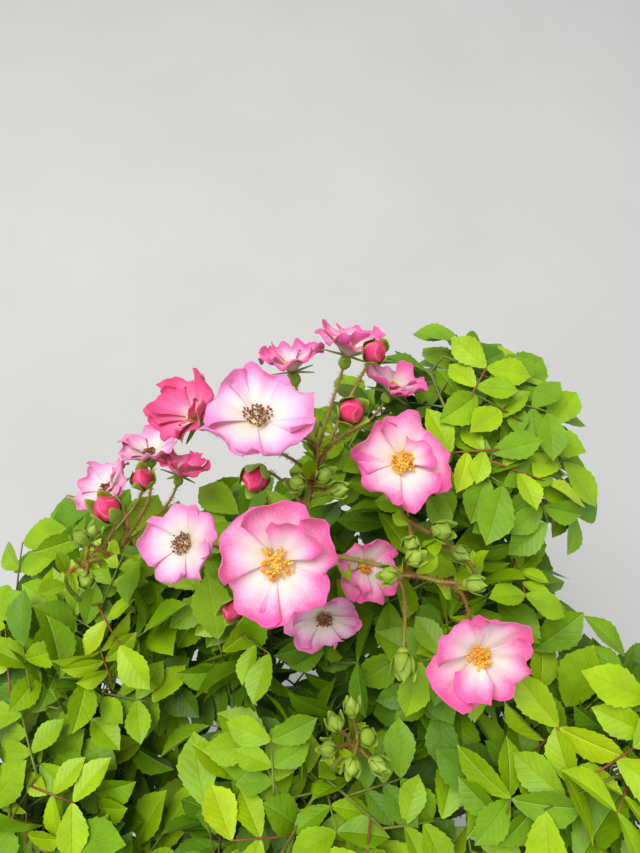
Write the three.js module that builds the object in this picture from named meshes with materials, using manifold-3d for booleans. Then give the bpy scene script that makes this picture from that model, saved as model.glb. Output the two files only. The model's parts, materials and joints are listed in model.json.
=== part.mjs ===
// A shrub rose in its black nursery pot. Eight arching canes rise from one low stool, fork into
// boughs, and end in masses of pinnate leaves. Trusses of single blooms and buds stand over them.
// Millimetres, +Z up. The origin is the middle of the pot's flat underside, and the far side (+Y)
// is the one that carries most of the blossom.
import * as THREE from "three";
import { mergeVertices } from "three/addons/utils/BufferGeometryUtils.js";
import Module from "manifold-3d";

const vec = (x, y, z) => new THREE.Vector3(x, y, z);
const UP = vec(0, 0, 1);

const GAP = 0.3; // between solids that touch on the real plant
const GOLDEN_ANGLE = 2.39996; // between one leaf and the next round a stem

// The pot: blow-moulded, round, with a rolled rim, and drain holes through its floor. The potting
// mix in it ends a finger's width under the rim.
const POT = { height: 180, footRadius: 76, topRadius: 97, rimRadius: 104, rimDepth: 15, wall: 2 };
const FLOOR = 3;
const POT_SIDES = 32;
const DRAIN = { count: 5, radius: 6, ring: 50, sides: 6 };
const SOIL_TOP = 164;
const SOIL_SIDES = 24;

// The stool: the knob of old wood at soil level, flared at its flat foot, that all canes come from.
const STOOL = { foot: SOIL_TOP + GAP, footRadius: 20, waistRadius: 15, headRadius: 17, height: 24 };

// The masses of foliage. Each keeps to the space that is nearer to its own centre than to the
// others', and within reach of its centre.
const REACH = { side: 110, up: 76, down: 120 };
const MASSES = {
  far_left: { centre: vec(-118, 185, 420), seed: 3 },
  far_middle: { centre: vec(-5, 195, 425), seed: 5 },
  far_right: { centre: vec(112, 185, 450), seed: 8 },
  far_tip: { centre: vec(112, 285, 480), seed: 13 },
  left: { centre: vec(-150, 65, 405), seed: 21 },
  middle: { centre: vec(30, 85, 430), seed: 34 },
  right: { centre: vec(190, 95, 465), seed: 55 },
  near_left: { centre: vec(-118, -70, 395), seed: 89 },
  near_middle: { centre: vec(10, -50, 430), seed: 144 },
  near_right: { centre: vec(132, -45, 420), seed: 233 },
  near_tip: { centre: vec(15, -170, 385), seed: 377 },
};

// The limbs: canes from the stool, and boughs that fork from a cane. Each ends at the foot of one
// mass. A cane's angle is where it leaves the stool, and a bough's share is how far up it forks.
const CANES = [
  { to: "right", angle: 5 },
  { to: "far_right", angle: 47 },
  { to: "middle", angle: 85 },
  { to: "far_middle", angle: 120 },
  { to: "left", angle: 160 },
  { to: "near_left", angle: 207 },
  { to: "near_tip", angle: 262 },
  { to: "near_right", angle: 318 },
];
const BOUGHS = [
  { to: "far_left", from: "left", share: 0.5 },
  { to: "far_tip", from: "far_right", share: 0.55 },
  { to: "near_middle", from: "near_tip", share: 0.45 },
];
const CANE = { startRadius: 3.7, endRadius: 2.5, ring: 13, sides: 6, steps: 7 };
const BOUGH = { startRadius: 2.9, endRadius: 2.2, sides: 6, steps: 5 };
const FOOT_WALK = 80; // how far below its centre a mass's stem can start

// A mass's main stem, its twigs, and where leaves stand on both, as shares of their length.
const STEM = { startRadius: 2.1, endRadius: 1.3, sides: 4, steps: 5, rise: 52, outward: 14 };
const TWIG = { count: 3, from: 0.24, step: 0.27, length: 64, startRadius: 1.15, endRadius: 0.85 };
const TWIG_TRIES = 6;
const STEM_LEAVES = { from: 0.34, count: 3 };
const TWIG_LEAVES = { from: 0.6, count: 2 };

// A compound leaf: leaflets in pairs along a thin rachis, and one at its end. They are a little
// larger than life, as the solids hold about a third of the plant's leaves.
const LEAF = {
  rachis: 58,
  rachisRadius: 0.75,
  leaflet: 50,
  slim: 0.64, // width for length
  thick: 1.3,
  droop: 0.25,
  sunk: 0.2, // how far a leaflet's root passes the middle of the rachis
  pairAngle: 66,
  tries: 16,
};
const LEAFLET_PAIRS = [
  { along: 0.4, size: 0.8 },
  { along: 0.76, size: 0.95 },
];
const END_LEAFLET = { along: 0.98, size: 1.08 };
const CROWDED = 40; // nearer than this, leaflets hide one another
const CLEAR = 1.6; // between foliage and what it keeps clear of
const OBSTACLE_STEP = 5; // between the points at which a limb is kept clear of

// The trusses. Each has an axis from a stem's tip, or from another truss's axis, to its end, and
// carries blooms and buds on stalks. A bloom's place is the foot of its petals. It faces an azimuth
// and a lean from upright, in degrees, and its cup is 0 when flat and 1 when half closed. The buds
// that are coming into colour have places too, and the green ones stand round the axis's end.
const TRUSSES = [
  {
    name: "centre_truss",
    stem: "far_middle",
    end: vec(18, 206, 542),
    blooms: [
      { at: vec(-42, 214, 540), wide: 49, faces: [200, 24], cup: 0.35 },
      { at: vec(32, 181, 500), wide: 43, faces: [275, 52], cup: 0.4 },
      { at: vec(54, 205, 524), wide: 38, faces: [300, 30], cup: 0.6 },
      { at: vec(10, 197, 584), wide: 59, faces: [265, 22], cup: 0.22 },
    ],
    buds: [{ at: vec(-15, 181, 536), wide: 10, faces: [250, 40] }],
    green: { count: 2, seed: 4 },
  },
  {
    name: "top_truss",
    truss: "centre_truss",
    share: 0.66,
    end: vec(29, 258, 566),
    blooms: [
      { at: vec(-36, 276, 566), wide: 44, faces: [160, 30], cup: 0.75 },
      { at: vec(74, 316, 516), wide: 42, faces: [60, 40], cup: 0.55 },
      { at: vec(14, 318, 540), wide: 44, faces: [100, 50], cup: 0.6 },
      { at: vec(46, 326, 546), wide: 44, faces: [70, 45], cup: 0.65 },
      { at: vec(0, 262, 598), wide: 56, faces: [80, 12], cup: 0.35 },
    ],
    buds: [
      { at: vec(-2, 243, 572), wide: 12, faces: [255, 50] },
      { at: vec(45, 275, 578), wide: 12, faces: [320, 22] },
      { at: vec(58, 303, 590), wide: 11, faces: [300, 12] },
    ],
    green: { count: 4, seed: 9 },
  },
  {
    name: "left_truss",
    stem: "far_left",
    end: vec(-88, 210, 526),
    blooms: [
      { at: vec(-60, 268, 492), wide: 36, faces: [70, 55], cup: 0.6 },
      { at: vec(-80, 280, 494), wide: 40, faces: [95, 35], cup: 0.55 },
      { at: vec(-102, 256, 496), wide: 42, faces: [140, 30], cup: 0.5 },
    ],
    buds: [
      { at: vec(-72, 252, 530), wide: 11, faces: [60, 15] },
      { at: vec(-84, 230, 544), wide: 13, faces: [120, 20] },
    ],
    green: { count: 3, seed: 2 },
  },
  {
    name: "right_truss",
    truss: "centre_truss",
    share: 0.3,
    end: vec(98, 190, 552),
    blooms: [{ at: vec(110, 158, 540), wide: 53, faces: [275, 30], cup: 0.32 }],
    buds: [{ at: vec(74, 156, 526), wide: 11, faces: [265, 65] }],
    green: { count: 3, seed: 6 },
  },
  {
    name: "far_right_truss",
    stem: "far_right",
    end: vec(80, 226, 538),
    blooms: [{ at: vec(73, 252, 564), wide: 51, faces: [280, 16], cup: 0.3 }],
    buds: [{ at: vec(92, 218, 556), wide: 9, faces: [320, 30] }],
    green: { count: 2, seed: 7 },
  },
  {
    name: "young_truss",
    stem: "middle",
    end: vec(52, 118, 492),
    blooms: [],
    buds: [{ at: vec(55, 118, 510), wide: 8, faces: [0, 0] }],
    green: { count: 6, seed: 1 },
  },
  {
    name: "near_left_truss",
    stem: "near_left",
    end: vec(-136, -90, 500),
    blooms: [
      { at: vec(-166, -96, 522), wide: 46, faces: [190, 40], cup: 0.4 },
      { at: vec(-120, -124, 524), wide: 52, faces: [285, 35], cup: 0.3 },
      { at: vec(-132, -64, 536), wide: 50, faces: [100, 15], cup: 0.3 },
    ],
    buds: [{ at: vec(-152, -118, 520), wide: 11, faces: [230, 35] }],
    green: { count: 2, seed: 5 },
  },
  {
    name: "near_right_truss",
    stem: "near_right",
    end: vec(146, -62, 518),
    blooms: [
      { at: vec(176, -88, 532), wide: 50, faces: [320, 40], cup: 0.35 },
      { at: vec(128, -56, 548), wide: 54, faces: [200, 12], cup: 0.25 },
    ],
    buds: [{ at: vec(146, -92, 532), wide: 10, faces: [265, 35] }],
    green: { count: 2, seed: 8 },
  },
  {
    name: "near_tip_truss",
    stem: "near_tip",
    end: vec(8, -196, 484),
    blooms: [{ at: vec(-12, -222, 506), wide: 48, faces: [250, 38], cup: 0.35 }],
    buds: [{ at: vec(30, -206, 504), wide: 11, faces: [310, 30] }],
    green: { count: 2, seed: 3 },
  },
];
const AXIS = { startRadius: 1.5, endRadius: 1.0, sides: 4, steps: 4 };
const STALK = { startRadius: 0.85, endRadius: 0.8, sides: 3 };
const FIRST_STALK = 0.42; // shares of the axis between which stalks leave it
const LAST_STALK = 0.985;
const GREEN = { wide: 7.5, length: 20, tries: 12 };
const PETALS = 5;
const BLOOM_SIDES = PETALS * 2;

// The finishes.
const finishes = {
  pot: { color: 0x17181a, roughness: 0.45, metalness: 0 },
  soil: { color: 0x3b2a1e, roughness: 1, metalness: 0 },
  wood: { color: 0x7a6a3a, roughness: 0.8, metalness: 0 },
  cane: { color: 0x6f7d2a, roughness: 0.6, metalness: 0 },
  leaf: { color: 0x7fae2c, roughness: 0.5, metalness: 0 },
  blossom: { color: 0xf08fc0, roughness: 0.6, metalness: 0 },
};

const SEED_LIMIT = 2147483647;
const SEED_STEP = 48271;
const SHORT_EDGE = 0.02; // of a joint's edges, below which they are merged

const wasm = await Module();
wasm.setup();
const degrees = THREE.MathUtils.degToRad;

// A small seeded generator, so that the same bush grows every time.
function seededRandom(seed) {
  let state = seed * 7919 + 101;
  const next = () => {
    state = (state * SEED_STEP) % SEED_LIMIT;
    return state / SEED_LIMIT;
  };
  next();
  next();
  return next;
}

// A unit vector that leans from straight up, towards an azimuth counted from +X, both in degrees.
function leaning([azimuth, lean]) {
  const a = degrees(azimuth);
  const l = degrees(lean);
  return vec(Math.cos(a) * Math.sin(l), Math.sin(a) * Math.sin(l), Math.cos(l));
}

function solidOf(geometry) {
  const bare = geometry.index ? geometry.toNonIndexed() : geometry.clone();
  bare.deleteAttribute("normal");
  bare.deleteAttribute("uv");
  const merged = mergeVertices(bare, 1e-4);
  return new wasm.Manifold(
    new wasm.Mesh({
      numProp: 3,
      vertProperties: merged.attributes.position.array,
      triVerts: new Uint32Array(merged.index.array),
    }),
  );
}

function geometryOf(solid) {
  const mesh = solid.getMesh();
  const positions = new Float32Array(mesh.numVert * 3);
  for (let i = 0; i < mesh.numVert; i++) {
    positions.set(mesh.vertProperties.subarray(i * mesh.numProp, i * mesh.numProp + 3), i * 3);
  }
  const geometry = new THREE.BufferGeometry();
  geometry.setAttribute("position", new THREE.BufferAttribute(positions, 3));
  geometry.setIndex(new THREE.BufferAttribute(mesh.triVerts, 1));
  geometry.computeVertexNormals();
  return geometry;
}

// Fuses pieces into one body. Edges too short to matter go, and so does a scrap or a sealed pocket.
function fused(pieces) {
  const joined = wasm.Manifold.union(pieces).simplify(SHORT_EDGE);
  const bodies = joined.decompose();
  return bodies.reduce((best, body) => (body.volume() > best.volume() ? body : best));
}

// A round limb that follows a curve and tapers evenly, with a flat cut at each end.
function limb(curve, startRadius, endRadius, sides, steps) {
  const frames = curve.computeFrenetFrames(steps, false);
  const positions = [];
  const faces = [];
  for (let i = 0; i <= steps; i++) {
    const share = i / steps;
    const middle = curve.getPointAt(share);
    const radius = startRadius + (endRadius - startRadius) * share;
    for (let j = 0; j < sides; j++) {
      const angle = (2 * Math.PI * j) / sides;
      const rim = middle
        .clone()
        .addScaledVector(frames.normals[i], radius * Math.cos(angle))
        .addScaledVector(frames.binormals[i], radius * Math.sin(angle));
      positions.push(rim.x, rim.y, rim.z);
    }
  }
  for (let i = 0; i < steps; i++) {
    for (let j = 0; j < sides; j++) {
      const a = i * sides + j;
      const b = i * sides + ((j + 1) % sides);
      faces.push(a, b, b + sides, a, b + sides, a + sides);
    }
  }
  const last = steps * sides;
  for (let j = 1; j < sides - 1; j++) {
    faces.push(0, j + 1, j, last, last + j, last + j + 1);
  }
  const geometry = new THREE.BufferGeometry();
  geometry.setAttribute("position", new THREE.Float32BufferAttribute(positions, 3));
  geometry.setIndex(faces);
  return geometry;
}

// The same limb with room round it, which is cut out of what grows from its side.
function grownLimb(curve, { startRadius, endRadius, sides, steps }) {
  const room = GAP * 1.4;
  return solidOf(limb(curve, startRadius + room, endRadius + room, sides, steps));
}

function potSolid() {
  const { height, footRadius, topRadius, rimRadius, rimDepth, wall } = POT;
  const under = height - rimDepth;
  const outline = [
    [0, 0],
    [footRadius, 0],
    [topRadius, under],
    [rimRadius, under + 2],
    [rimRadius, height - 3],
    [rimRadius - 3, height],
    [topRadius - wall + 1, height - 1],
    [topRadius - wall, under],
    [footRadius - wall, FLOOR],
    [0, FLOOR],
  ];
  const wallSolid = solidOf(
    new THREE.LatheGeometry(outline.map(([r, z]) => new THREE.Vector2(r, z)), POT_SIDES).rotateX(
      Math.PI / 2,
    ),
  );
  const drains = [];
  for (let i = 0; i < DRAIN.count; i++) {
    const angle = (2 * Math.PI * i) / DRAIN.count;
    const drain = new THREE.CylinderGeometry(DRAIN.radius, DRAIN.radius, 4 * FLOOR, DRAIN.sides);
    drain.rotateX(Math.PI / 2);
    drain.translate(DRAIN.ring * Math.cos(angle), DRAIN.ring * Math.sin(angle), 0);
    drains.push(solidOf(drain));
  }
  return wallSolid.subtract(wasm.Manifold.union(drains));
}

// The root ball fills the pot, a little clear of its wall.
function rootBallSolid() {
  const { height, footRadius, topRadius, rimDepth, wall } = POT;
  const rise = (topRadius - footRadius) / (height - rimDepth);
  const clearance = wall + 3 * GAP;
  const outline = [
    [0, FLOOR + GAP],
    [footRadius + rise * FLOOR - clearance, FLOOR + GAP],
    [footRadius + rise * SOIL_TOP - clearance - 1, SOIL_TOP - 3],
    [footRadius + rise * SOIL_TOP - clearance - 10, SOIL_TOP],
    [0, SOIL_TOP],
  ];
  return solidOf(
    new THREE.LatheGeometry(outline.map(([r, z]) => new THREE.Vector2(r, z)), SOIL_SIDES).rotateX(
      Math.PI / 2,
    ),
  );
}

function stoolGeometry(grown) {
  const { foot, footRadius, waistRadius, headRadius, height } = STOOL;
  const outline = [
    [0, foot - grown],
    [footRadius + grown, foot - grown],
    [waistRadius + grown, foot + height * 0.35],
    [headRadius + grown, foot + height * 0.7],
    [headRadius * 0.6 + grown, foot + height + grown],
    [0, foot + height + grown],
  ];
  return new THREE.LatheGeometry(outline.map(([r, z]) => new THREE.Vector2(r, z)), 16).rotateX(
    Math.PI / 2,
  );
}

function insideOwnSpace(point, name, margin) {
  const own = MASSES[name].centre;
  const off = point.clone().sub(own);
  const upright = (off.z > 0 ? REACH.up : REACH.down) - margin;
  const across = REACH.side - margin;
  if ((off.x * off.x + off.y * off.y) / across ** 2 + (off.z / upright) ** 2 > 1) return false;
  return Object.keys(MASSES).every((other) => {
    if (other === name) return true;
    const apart = MASSES[other].centre.clone().sub(own);
    const distance = apart.length();
    return off.dot(apart) / distance < distance / 2 - margin;
  });
}

// The place where a limb enters its mass: as far out towards the limb as the mass's space goes.
function footOf(name, from) {
  const { centre } = MASSES[name];
  const way = from.clone().sub(centre).normalize();
  let far = 0;
  while (far < FOOT_WALK && insideOwnSpace(centre.clone().addScaledVector(way, far + 3), name, 7)) {
    far += 3;
  }
  return centre.clone().addScaledVector(way, far);
}

function limbCurve(start, startWay, name, from) {
  const foot = footOf(name, from);
  const into = MASSES[name].centre.clone().sub(foot).normalize();
  const distance = start.distanceTo(foot);
  return new THREE.CubicBezierCurve3(
    start,
    start.clone().addScaledVector(startWay, distance * 0.4),
    foot.clone().addScaledVector(into, distance * -0.3),
    foot,
  );
}

const stoolHead = vec(0, 0, STOOL.foot + STOOL.height);
const limbs = {};
for (const { to, angle } of CANES) {
  const out = vec(Math.cos(degrees(angle)), Math.sin(degrees(angle)), 0);
  const start = out.clone().multiplyScalar(CANE.ring);
  start.z = STOOL.foot + STOOL.height * 0.6;
  const way = out.clone().multiplyScalar(0.5).add(UP).normalize();
  limbs[to] = { curve: limbCurve(start, way, to, stoolHead), kind: CANE, node: "cane_" + to };
}
for (const { to, from, share } of BOUGHS) {
  const carrier = limbs[from];
  const start = carrier.curve.getPointAt(share);
  const out = MASSES[to].centre.clone().sub(start).normalize();
  const way = carrier.curve.getTangentAt(share).multiplyScalar(0.4).add(out).normalize();
  limbs[to] = { curve: limbCurve(start, way, to, start), kind: BOUGH, node: "bough_" + to, carrier };
}

// A mass's main stem goes on from its limb's tip, through the centre, to its top.
for (const [name, mass] of Object.entries(MASSES)) {
  const tip = limbs[name].curve.getPointAt(1);
  const way = limbs[name].curve.getTangentAt(1);
  const outward = vec(mass.centre.x, mass.centre.y, 0).normalize();
  const start = tip.clone().addScaledVector(way, GAP * 1.2);
  const top = mass.centre.clone().addScaledVector(UP, STEM.rise);
  top.addScaledVector(outward, STEM.outward);
  const bend = start.clone().addScaledVector(way, start.distanceTo(top) * 0.5);
  mass.outward = outward;
  mass.stem = new THREE.QuadraticBezierCurve3(start, bend, top);
}

// What later pieces keep clear of: points along every limb and stalk, and every bloom, each with
// its radius.
const obstacles = [];
function addObstacles(curve, startRadius, endRadius, owner) {
  const count = Math.ceil(curve.getLength() / OBSTACLE_STEP);
  for (let i = 0; i <= count; i++) {
    const radius = startRadius + ((endRadius - startRadius) * i) / count;
    obstacles.push({ at: curve.getPointAt(i / count), radius, owner });
  }
}

function addHead(truss, head, along, kind) {
  const facing = leaning(head.faces);
  const from = truss.axis.getPointAt(along);
  const to = head.at.clone().addScaledVector(facing, -head.wide * 0.12);
  const reach = from.distanceTo(to);
  const stalk = new THREE.CubicBezierCurve3(
    from,
    from.clone().addScaledVector(truss.axis.getTangentAt(along), reach * 0.35),
    to.clone().addScaledVector(facing, reach * -0.35),
    to,
  );
  truss.heads.push({ ...head, facing, stalk, kind });
  addObstacles(stalk, STALK.startRadius, STALK.endRadius, truss.name);
  const middle = head.at.clone().addScaledVector(facing, head.wide * 0.2);
  obstacles.push({ at: middle, radius: head.wide / 2 + 1, owner: truss.name });
}

// A green bud takes the first place round the axis's end that is clear of everything there.
function addGreenBuds(truss) {
  const random = seededRandom(truss.green.seed);
  for (let i = 0; i < truss.green.count; i++) {
    for (let t = 0; t < GREEN.tries; t++) {
      const along = 0.62 + 0.36 * random();
      const faces = [360 * random(), 15 + 50 * random()];
      const from = truss.axis.getPointAt(along);
      const reach = GREEN.length * (0.75 + 0.5 * random());
      const at = from.clone().addScaledVector(leaning(faces), reach);
      const points = [0.5, 0.7, 1, 1.25].map((share) => from.clone().lerp(at, share));
      const clear = points.every((point, p) =>
        obstacles.every(
          ({ at: other, radius }) => other.distanceTo(point) > radius + (p > 1 ? 7 : 4),
        ),
      );
      if (clear) {
        addHead(truss, { at, wide: GREEN.wide, faces }, along, "bud");
        break;
      }
    }
  }
}

for (const { curve, kind, node } of Object.values(limbs)) {
  addObstacles(curve, kind.startRadius, kind.endRadius, node);
}
for (const [name, { stem }] of Object.entries(MASSES)) {
  addObstacles(stem, STEM.startRadius, STEM.endRadius, name);
}
for (const truss of TRUSSES) {
  const carrier = truss.stem
    ? MASSES[truss.stem].stem
    : TRUSSES.find((other) => other.name === truss.truss).axis;
  const share = truss.share ?? 1;
  const way = carrier.getTangentAt(share);
  const start = carrier.getPointAt(share);
  if (truss.stem) start.addScaledVector(way, GAP * 1.2);
  const distance = start.distanceTo(truss.end);
  truss.carrierAxis = truss.stem ? null : carrier;
  truss.axis = new THREE.QuadraticBezierCurve3(
    start,
    start.clone().addScaledVector(way, distance * 0.45),
    truss.end,
  );
  truss.heads = [];
  addObstacles(truss.axis, AXIS.startRadius, AXIS.endRadius, truss.name);
  const placed = [
    ...truss.buds.map((head) => [head, "bud"]),
    ...truss.blooms.map((head) => [head, "bloom"]),
  ];
  placed.forEach(([head, kind], i) => {
    const along = FIRST_STALK + ((LAST_STALK - FIRST_STALK) * (i + 1)) / placed.length;
    addHead(truss, head, along, kind);
  });
}
TRUSSES.forEach(addGreenBuds);

// A bloom: five broad petals round a boss of stamens, on a small hip. One closed rosette, whose
// rim dips between the petals and rises with the cup.
function bloomGeometry({ wide, cup }) {
  const radius = wide / 2;
  const rise = radius * cup;
  const outline = [
    [0, -radius * 0.28],
    [radius, rise],
    [radius * 0.5, rise * 0.42 + radius * 0.07],
    [0, radius * 0.2],
  ];
  const rosette = new THREE.LatheGeometry(
    outline.map(([r, z]) => new THREE.Vector2(r, z)),
    BLOOM_SIDES,
  ).rotateX(Math.PI / 2);
  const places = rosette.attributes.position;
  for (let i = 0; i < places.count; i++) {
    const x = places.getX(i);
    const y = places.getY(i);
    const fromAxis = Math.hypot(x, y);
    const turned = Math.atan2(y, x) / (2 * Math.PI) + 0.25;
    const step = Math.round(turned * BLOOM_SIDES);
    const notch = step % 2 === 0 ? 0 : 0.16;
    const shrink = 1 - notch * Math.max(0, fromAxis / radius - 0.4) / 0.6;
    places.setXY(i, x * shrink, y * shrink);
  }
  return rosette;
}

// A bud: a pointed egg of folded petals and sepals on its hip.
function budGeometry({ wide }) {
  const radius = wide / 2;
  const outline = [
    [0, -radius * 1.1],
    [radius * 0.62, -radius * 0.5],
    [radius, radius * 0.7],
    [0, radius * 2.5],
  ];
  return new THREE.LatheGeometry(outline.map(([r, z]) => new THREE.Vector2(r, z)), 4).rotateX(
    Math.PI / 2,
  );
}

function facedTo(geometry, at, facing) {
  const turn = new THREE.Quaternion().setFromUnitVectors(UP, facing);
  return geometry.applyQuaternion(turn).translate(at.x, at.y, at.z);
}

function trussSolid(truss) {
  const pieces = [
    solidOf(limb(truss.axis, AXIS.startRadius, AXIS.endRadius, AXIS.sides, AXIS.steps)),
  ];
  for (const head of truss.heads) {
    const shape = head.kind === "bloom" ? bloomGeometry(head) : budGeometry(head);
    pieces.push(solidOf(limb(head.stalk, STALK.startRadius, STALK.endRadius, STALK.sides, 2)));
    pieces.push(solidOf(facedTo(shape, head.at, head.facing)));
  }
  if (!truss.carrierAxis) return fused(pieces);
  const carrier = grownLimb(truss.carrierAxis, AXIS);
  return fused([wasm.Manifold.union(pieces).subtract(carrier)]);
}

// A leaf points on and out from its stem, and turns its face to the sky.

function leafAt(base, tangent, azimuth, outward, random, largest) {
  const turned = tangent.clone().cross(vec(1, 0, 0)).normalize().applyAxisAngle(tangent, azimuth);
  const way = turned.addScaledVector(tangent, 0.25 + 0.6 * random()).normalize();
  const sky = vec(random() - 0.5, random() - 0.5, 0).multiplyScalar(0.7);
  sky.add(UP).addScaledVector(outward, 0.3);
  const face = sky.addScaledVector(way, -sky.dot(way)).normalize();
  return { base, way, face, side: face.clone().cross(way), size: largest * (0.85 + 0.15 * random()) };
}

function rachisPoint({ base, way, size }, along) {
  return base.clone().addScaledVector(way, LEAF.rachis * size * along);
}

function leafletsOf(leaf, random) {
  const { way, face, side, size } = leaf;
  const blade = (along, turn, share) => {
    const heading = way.clone().multiplyScalar(Math.cos(turn));
    heading.addScaledVector(side, Math.sin(turn));
    heading.addScaledVector(UP, -LEAF.droop * along * Math.cos(turn) - 0.12).normalize();
    const tilt = vec(random() - 0.5, random() - 0.5, random() - 0.5).multiplyScalar(0.5);
    const normal = face.clone().add(tilt);
    normal.addScaledVector(heading, -normal.dot(heading)).normalize();
    const across = normal.clone().cross(heading);
    const base = rachisPoint(leaf, along).addScaledVector(heading, -LEAF.sunk);
    return { base, heading, normal, across, length: LEAF.leaflet * size * share };
  };
  const turn = degrees(LEAF.pairAngle);
  const blades = [];
  for (const pair of LEAFLET_PAIRS) {
    blades.push(blade(pair.along, turn, pair.size));
    blades.push(blade(pair.along, -turn, pair.size));
  }
  blades.push(blade(END_LEAFLET.along, 0, END_LEAFLET.size));
  return blades;
}

// A corner of a leaflet's solid, which is an octahedron drawn out into a thin blade.
function bladeCorner({ base, heading, normal, across, length }, x, y, z) {
  const along = x === 0 ? 0.46 : (x + 1) / 2;
  const lift = y === 0 ? 0 : 0.07;
  return base
    .clone()
    .addScaledVector(heading, along * length)
    .addScaledVector(across, (y * length * LEAF.slim) / 2)
    .addScaledVector(normal, (z * LEAF.thick) / 2 + lift * length * LEAF.slim);
}

function bladeSolid(blade) {
  const geometry = new THREE.OctahedronGeometry(1);
  const places = geometry.attributes.position;
  for (let i = 0; i < places.count; i++) {
    const sign = [places.getX(i), places.getY(i), places.getZ(i)].map(Math.round);
    const corner = bladeCorner(blade, ...sign);
    places.setXYZ(i, corner.x, corner.y, corner.z);
  }
  return solidOf(geometry);
}

function bladeIsClear(blade, mass) {
  for (const y of [-1, 0, 1]) {
    const corner = bladeCorner(blade, y === 0 ? 1 : 0, y, 0);
    if (!insideOwnSpace(corner, mass, CLEAR)) return false;
  }
  const half = (blade.length * LEAF.slim) / 2;
  return obstacles.every(({ at, radius, owner }) => {
    if (owner === mass) return true;
    const off = at.clone().sub(blade.base);
    const room = radius + CLEAR;
    const along = off.dot(blade.heading);
    if (along < -room || along > blade.length + room) return true;
    if (Math.abs(off.dot(blade.across)) > half + room) return true;
    return Math.abs(off.dot(blade.normal)) > room + LEAF.thick + half * 0.15;
  });
}

function wayIsClear(points, radius, mass) {
  return points.every(
    (point) =>
      insideOwnSpace(point, mass, radius + CLEAR) &&
      obstacles.every(
        ({ at, radius: thick, owner }) =>
          owner === mass || at.distanceTo(point) > thick + radius + CLEAR + OBSTACLE_STEP / 2,
      ),
  );
}

// Each leaf tries a few ways out from its stem, a little smaller each time, and keeps the one that
// leaves most of its leaflets clear and furthest from those that are there already.
function bestLeaf(curve, share, azimuth, seed, name, taken) {
  const random = seededRandom(seed);
  const tangent = curve.getTangentAt(share);
  const base = curve.getPointAt(share);
  let best = { score: 2 };
  for (let t = 0; t < LEAF.tries; t++) {
    const turn = azimuth + (t === 0 ? 0 : 2 * Math.PI * random());
    const largest = 1.12 - 0.025 * t;
    const leaf = leafAt(base, tangent, turn, MASSES[name].outward, random, largest);
    const blades = leafletsOf(leaf, random).filter((blade) => bladeIsClear(blade, name));
    const rachis = new THREE.LineCurve3(base, rachisPoint(leaf, 1));
    if (blades.length < 3 || !wayIsClear(rachis.getPoints(5), LEAF.rachisRadius, name)) continue;
    const middles = blades.map((blade) => bladeCorner(blade, 0, 0, 0));
    let score = 0;
    for (const middle of middles) {
      const nearest = Math.min(CROWDED, ...taken.map((other) => other.distanceTo(middle)));
      score += nearest / CROWDED;
    }
    if (score > best.score) best = { score, blades, middles, rachis };
  }
  if (best.blades) taken.push(...best.middles);
  return best;
}

function twigAt(stem, share, azimuth, length) {
  const tangent = stem.getTangentAt(share);
  const right = tangent.clone().cross(vec(1, 0, 0)).normalize();
  const out = right.applyAxisAngle(tangent, azimuth);
  const start = stem.getPointAt(share);
  const bend = start.clone().addScaledVector(out, length * 0.5).addScaledVector(tangent, 8);
  const end = bend.clone().addScaledVector(out, length * 0.35);
  return new THREE.QuadraticBezierCurve3(start, bend, end.addScaledVector(UP, length * 0.3));
}

// A twig turns a little aside, and stays a little shorter, until its way is clear.
function twigCurves(name) {
  const { stem, seed } = MASSES[name];
  const random = seededRandom(seed + 1);
  const first = random() * 2 * Math.PI;
  const twigs = [];
  for (let i = 0; i < TWIG.count; i++) {
    for (let t = 0; t < TWIG_TRIES; t++) {
      const azimuth = first + i * GOLDEN_ANGLE + (random() - 0.5) * 0.3 * t;
      const length = TWIG.length * (0.85 + 0.3 * random()) * (1 - 0.09 * t);
      const curve = twigAt(stem, TWIG.from + TWIG.step * i, azimuth, length);
      if (wayIsClear(curve.getSpacedPoints(8), TWIG.startRadius, name)) {
        twigs.push(curve);
        break;
      }
    }
  }
  return twigs;
}

// A mass: its main stem, twigs that branch from it, and the leaves of both, fused.
function massSolid(name) {
  const mass = MASSES[name];
  const pieces = [
    solidOf(limb(mass.stem, STEM.startRadius, STEM.endRadius, STEM.sides, STEM.steps)),
  ];
  const stems = [{ curve: mass.stem, ...STEM_LEAVES, seed: mass.seed * 100 }];
  twigCurves(name).forEach((curve, i) => {
    pieces.push(solidOf(limb(curve, TWIG.startRadius, TWIG.endRadius, 3, 2)));
    stems.push({ curve, ...TWIG_LEAVES, seed: mass.seed * 100 + 20 * (i + 1) });
  });
  const taken = [];
  for (const { curve, from, count, seed } of stems) {
    for (let i = 0; i < count; i++) {
      const share = from + ((0.99 - from) * i) / (count - 1);
      const { blades, rachis } = bestLeaf(curve, share, i * GOLDEN_ANGLE, seed + i, name, taken);
      if (!blades) continue;
      pieces.push(solidOf(limb(rachis, LEAF.rachisRadius, LEAF.rachisRadius, 3, 1)));
      pieces.push(...blades.map(bladeSolid));
    }
  }
  return fused(pieces);
}

const materials = {};
for (const [name, finish] of Object.entries(finishes)) {
  materials[name] = new THREE.MeshStandardMaterial(finish);
}

const bush = new THREE.Group();
bush.name = "rose_bush";
function addNode(name, solid, finish) {
  const mesh = new THREE.Mesh(geometryOf(solid), materials[finish]);
  mesh.name = name;
  bush.add(mesh);
}

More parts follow.
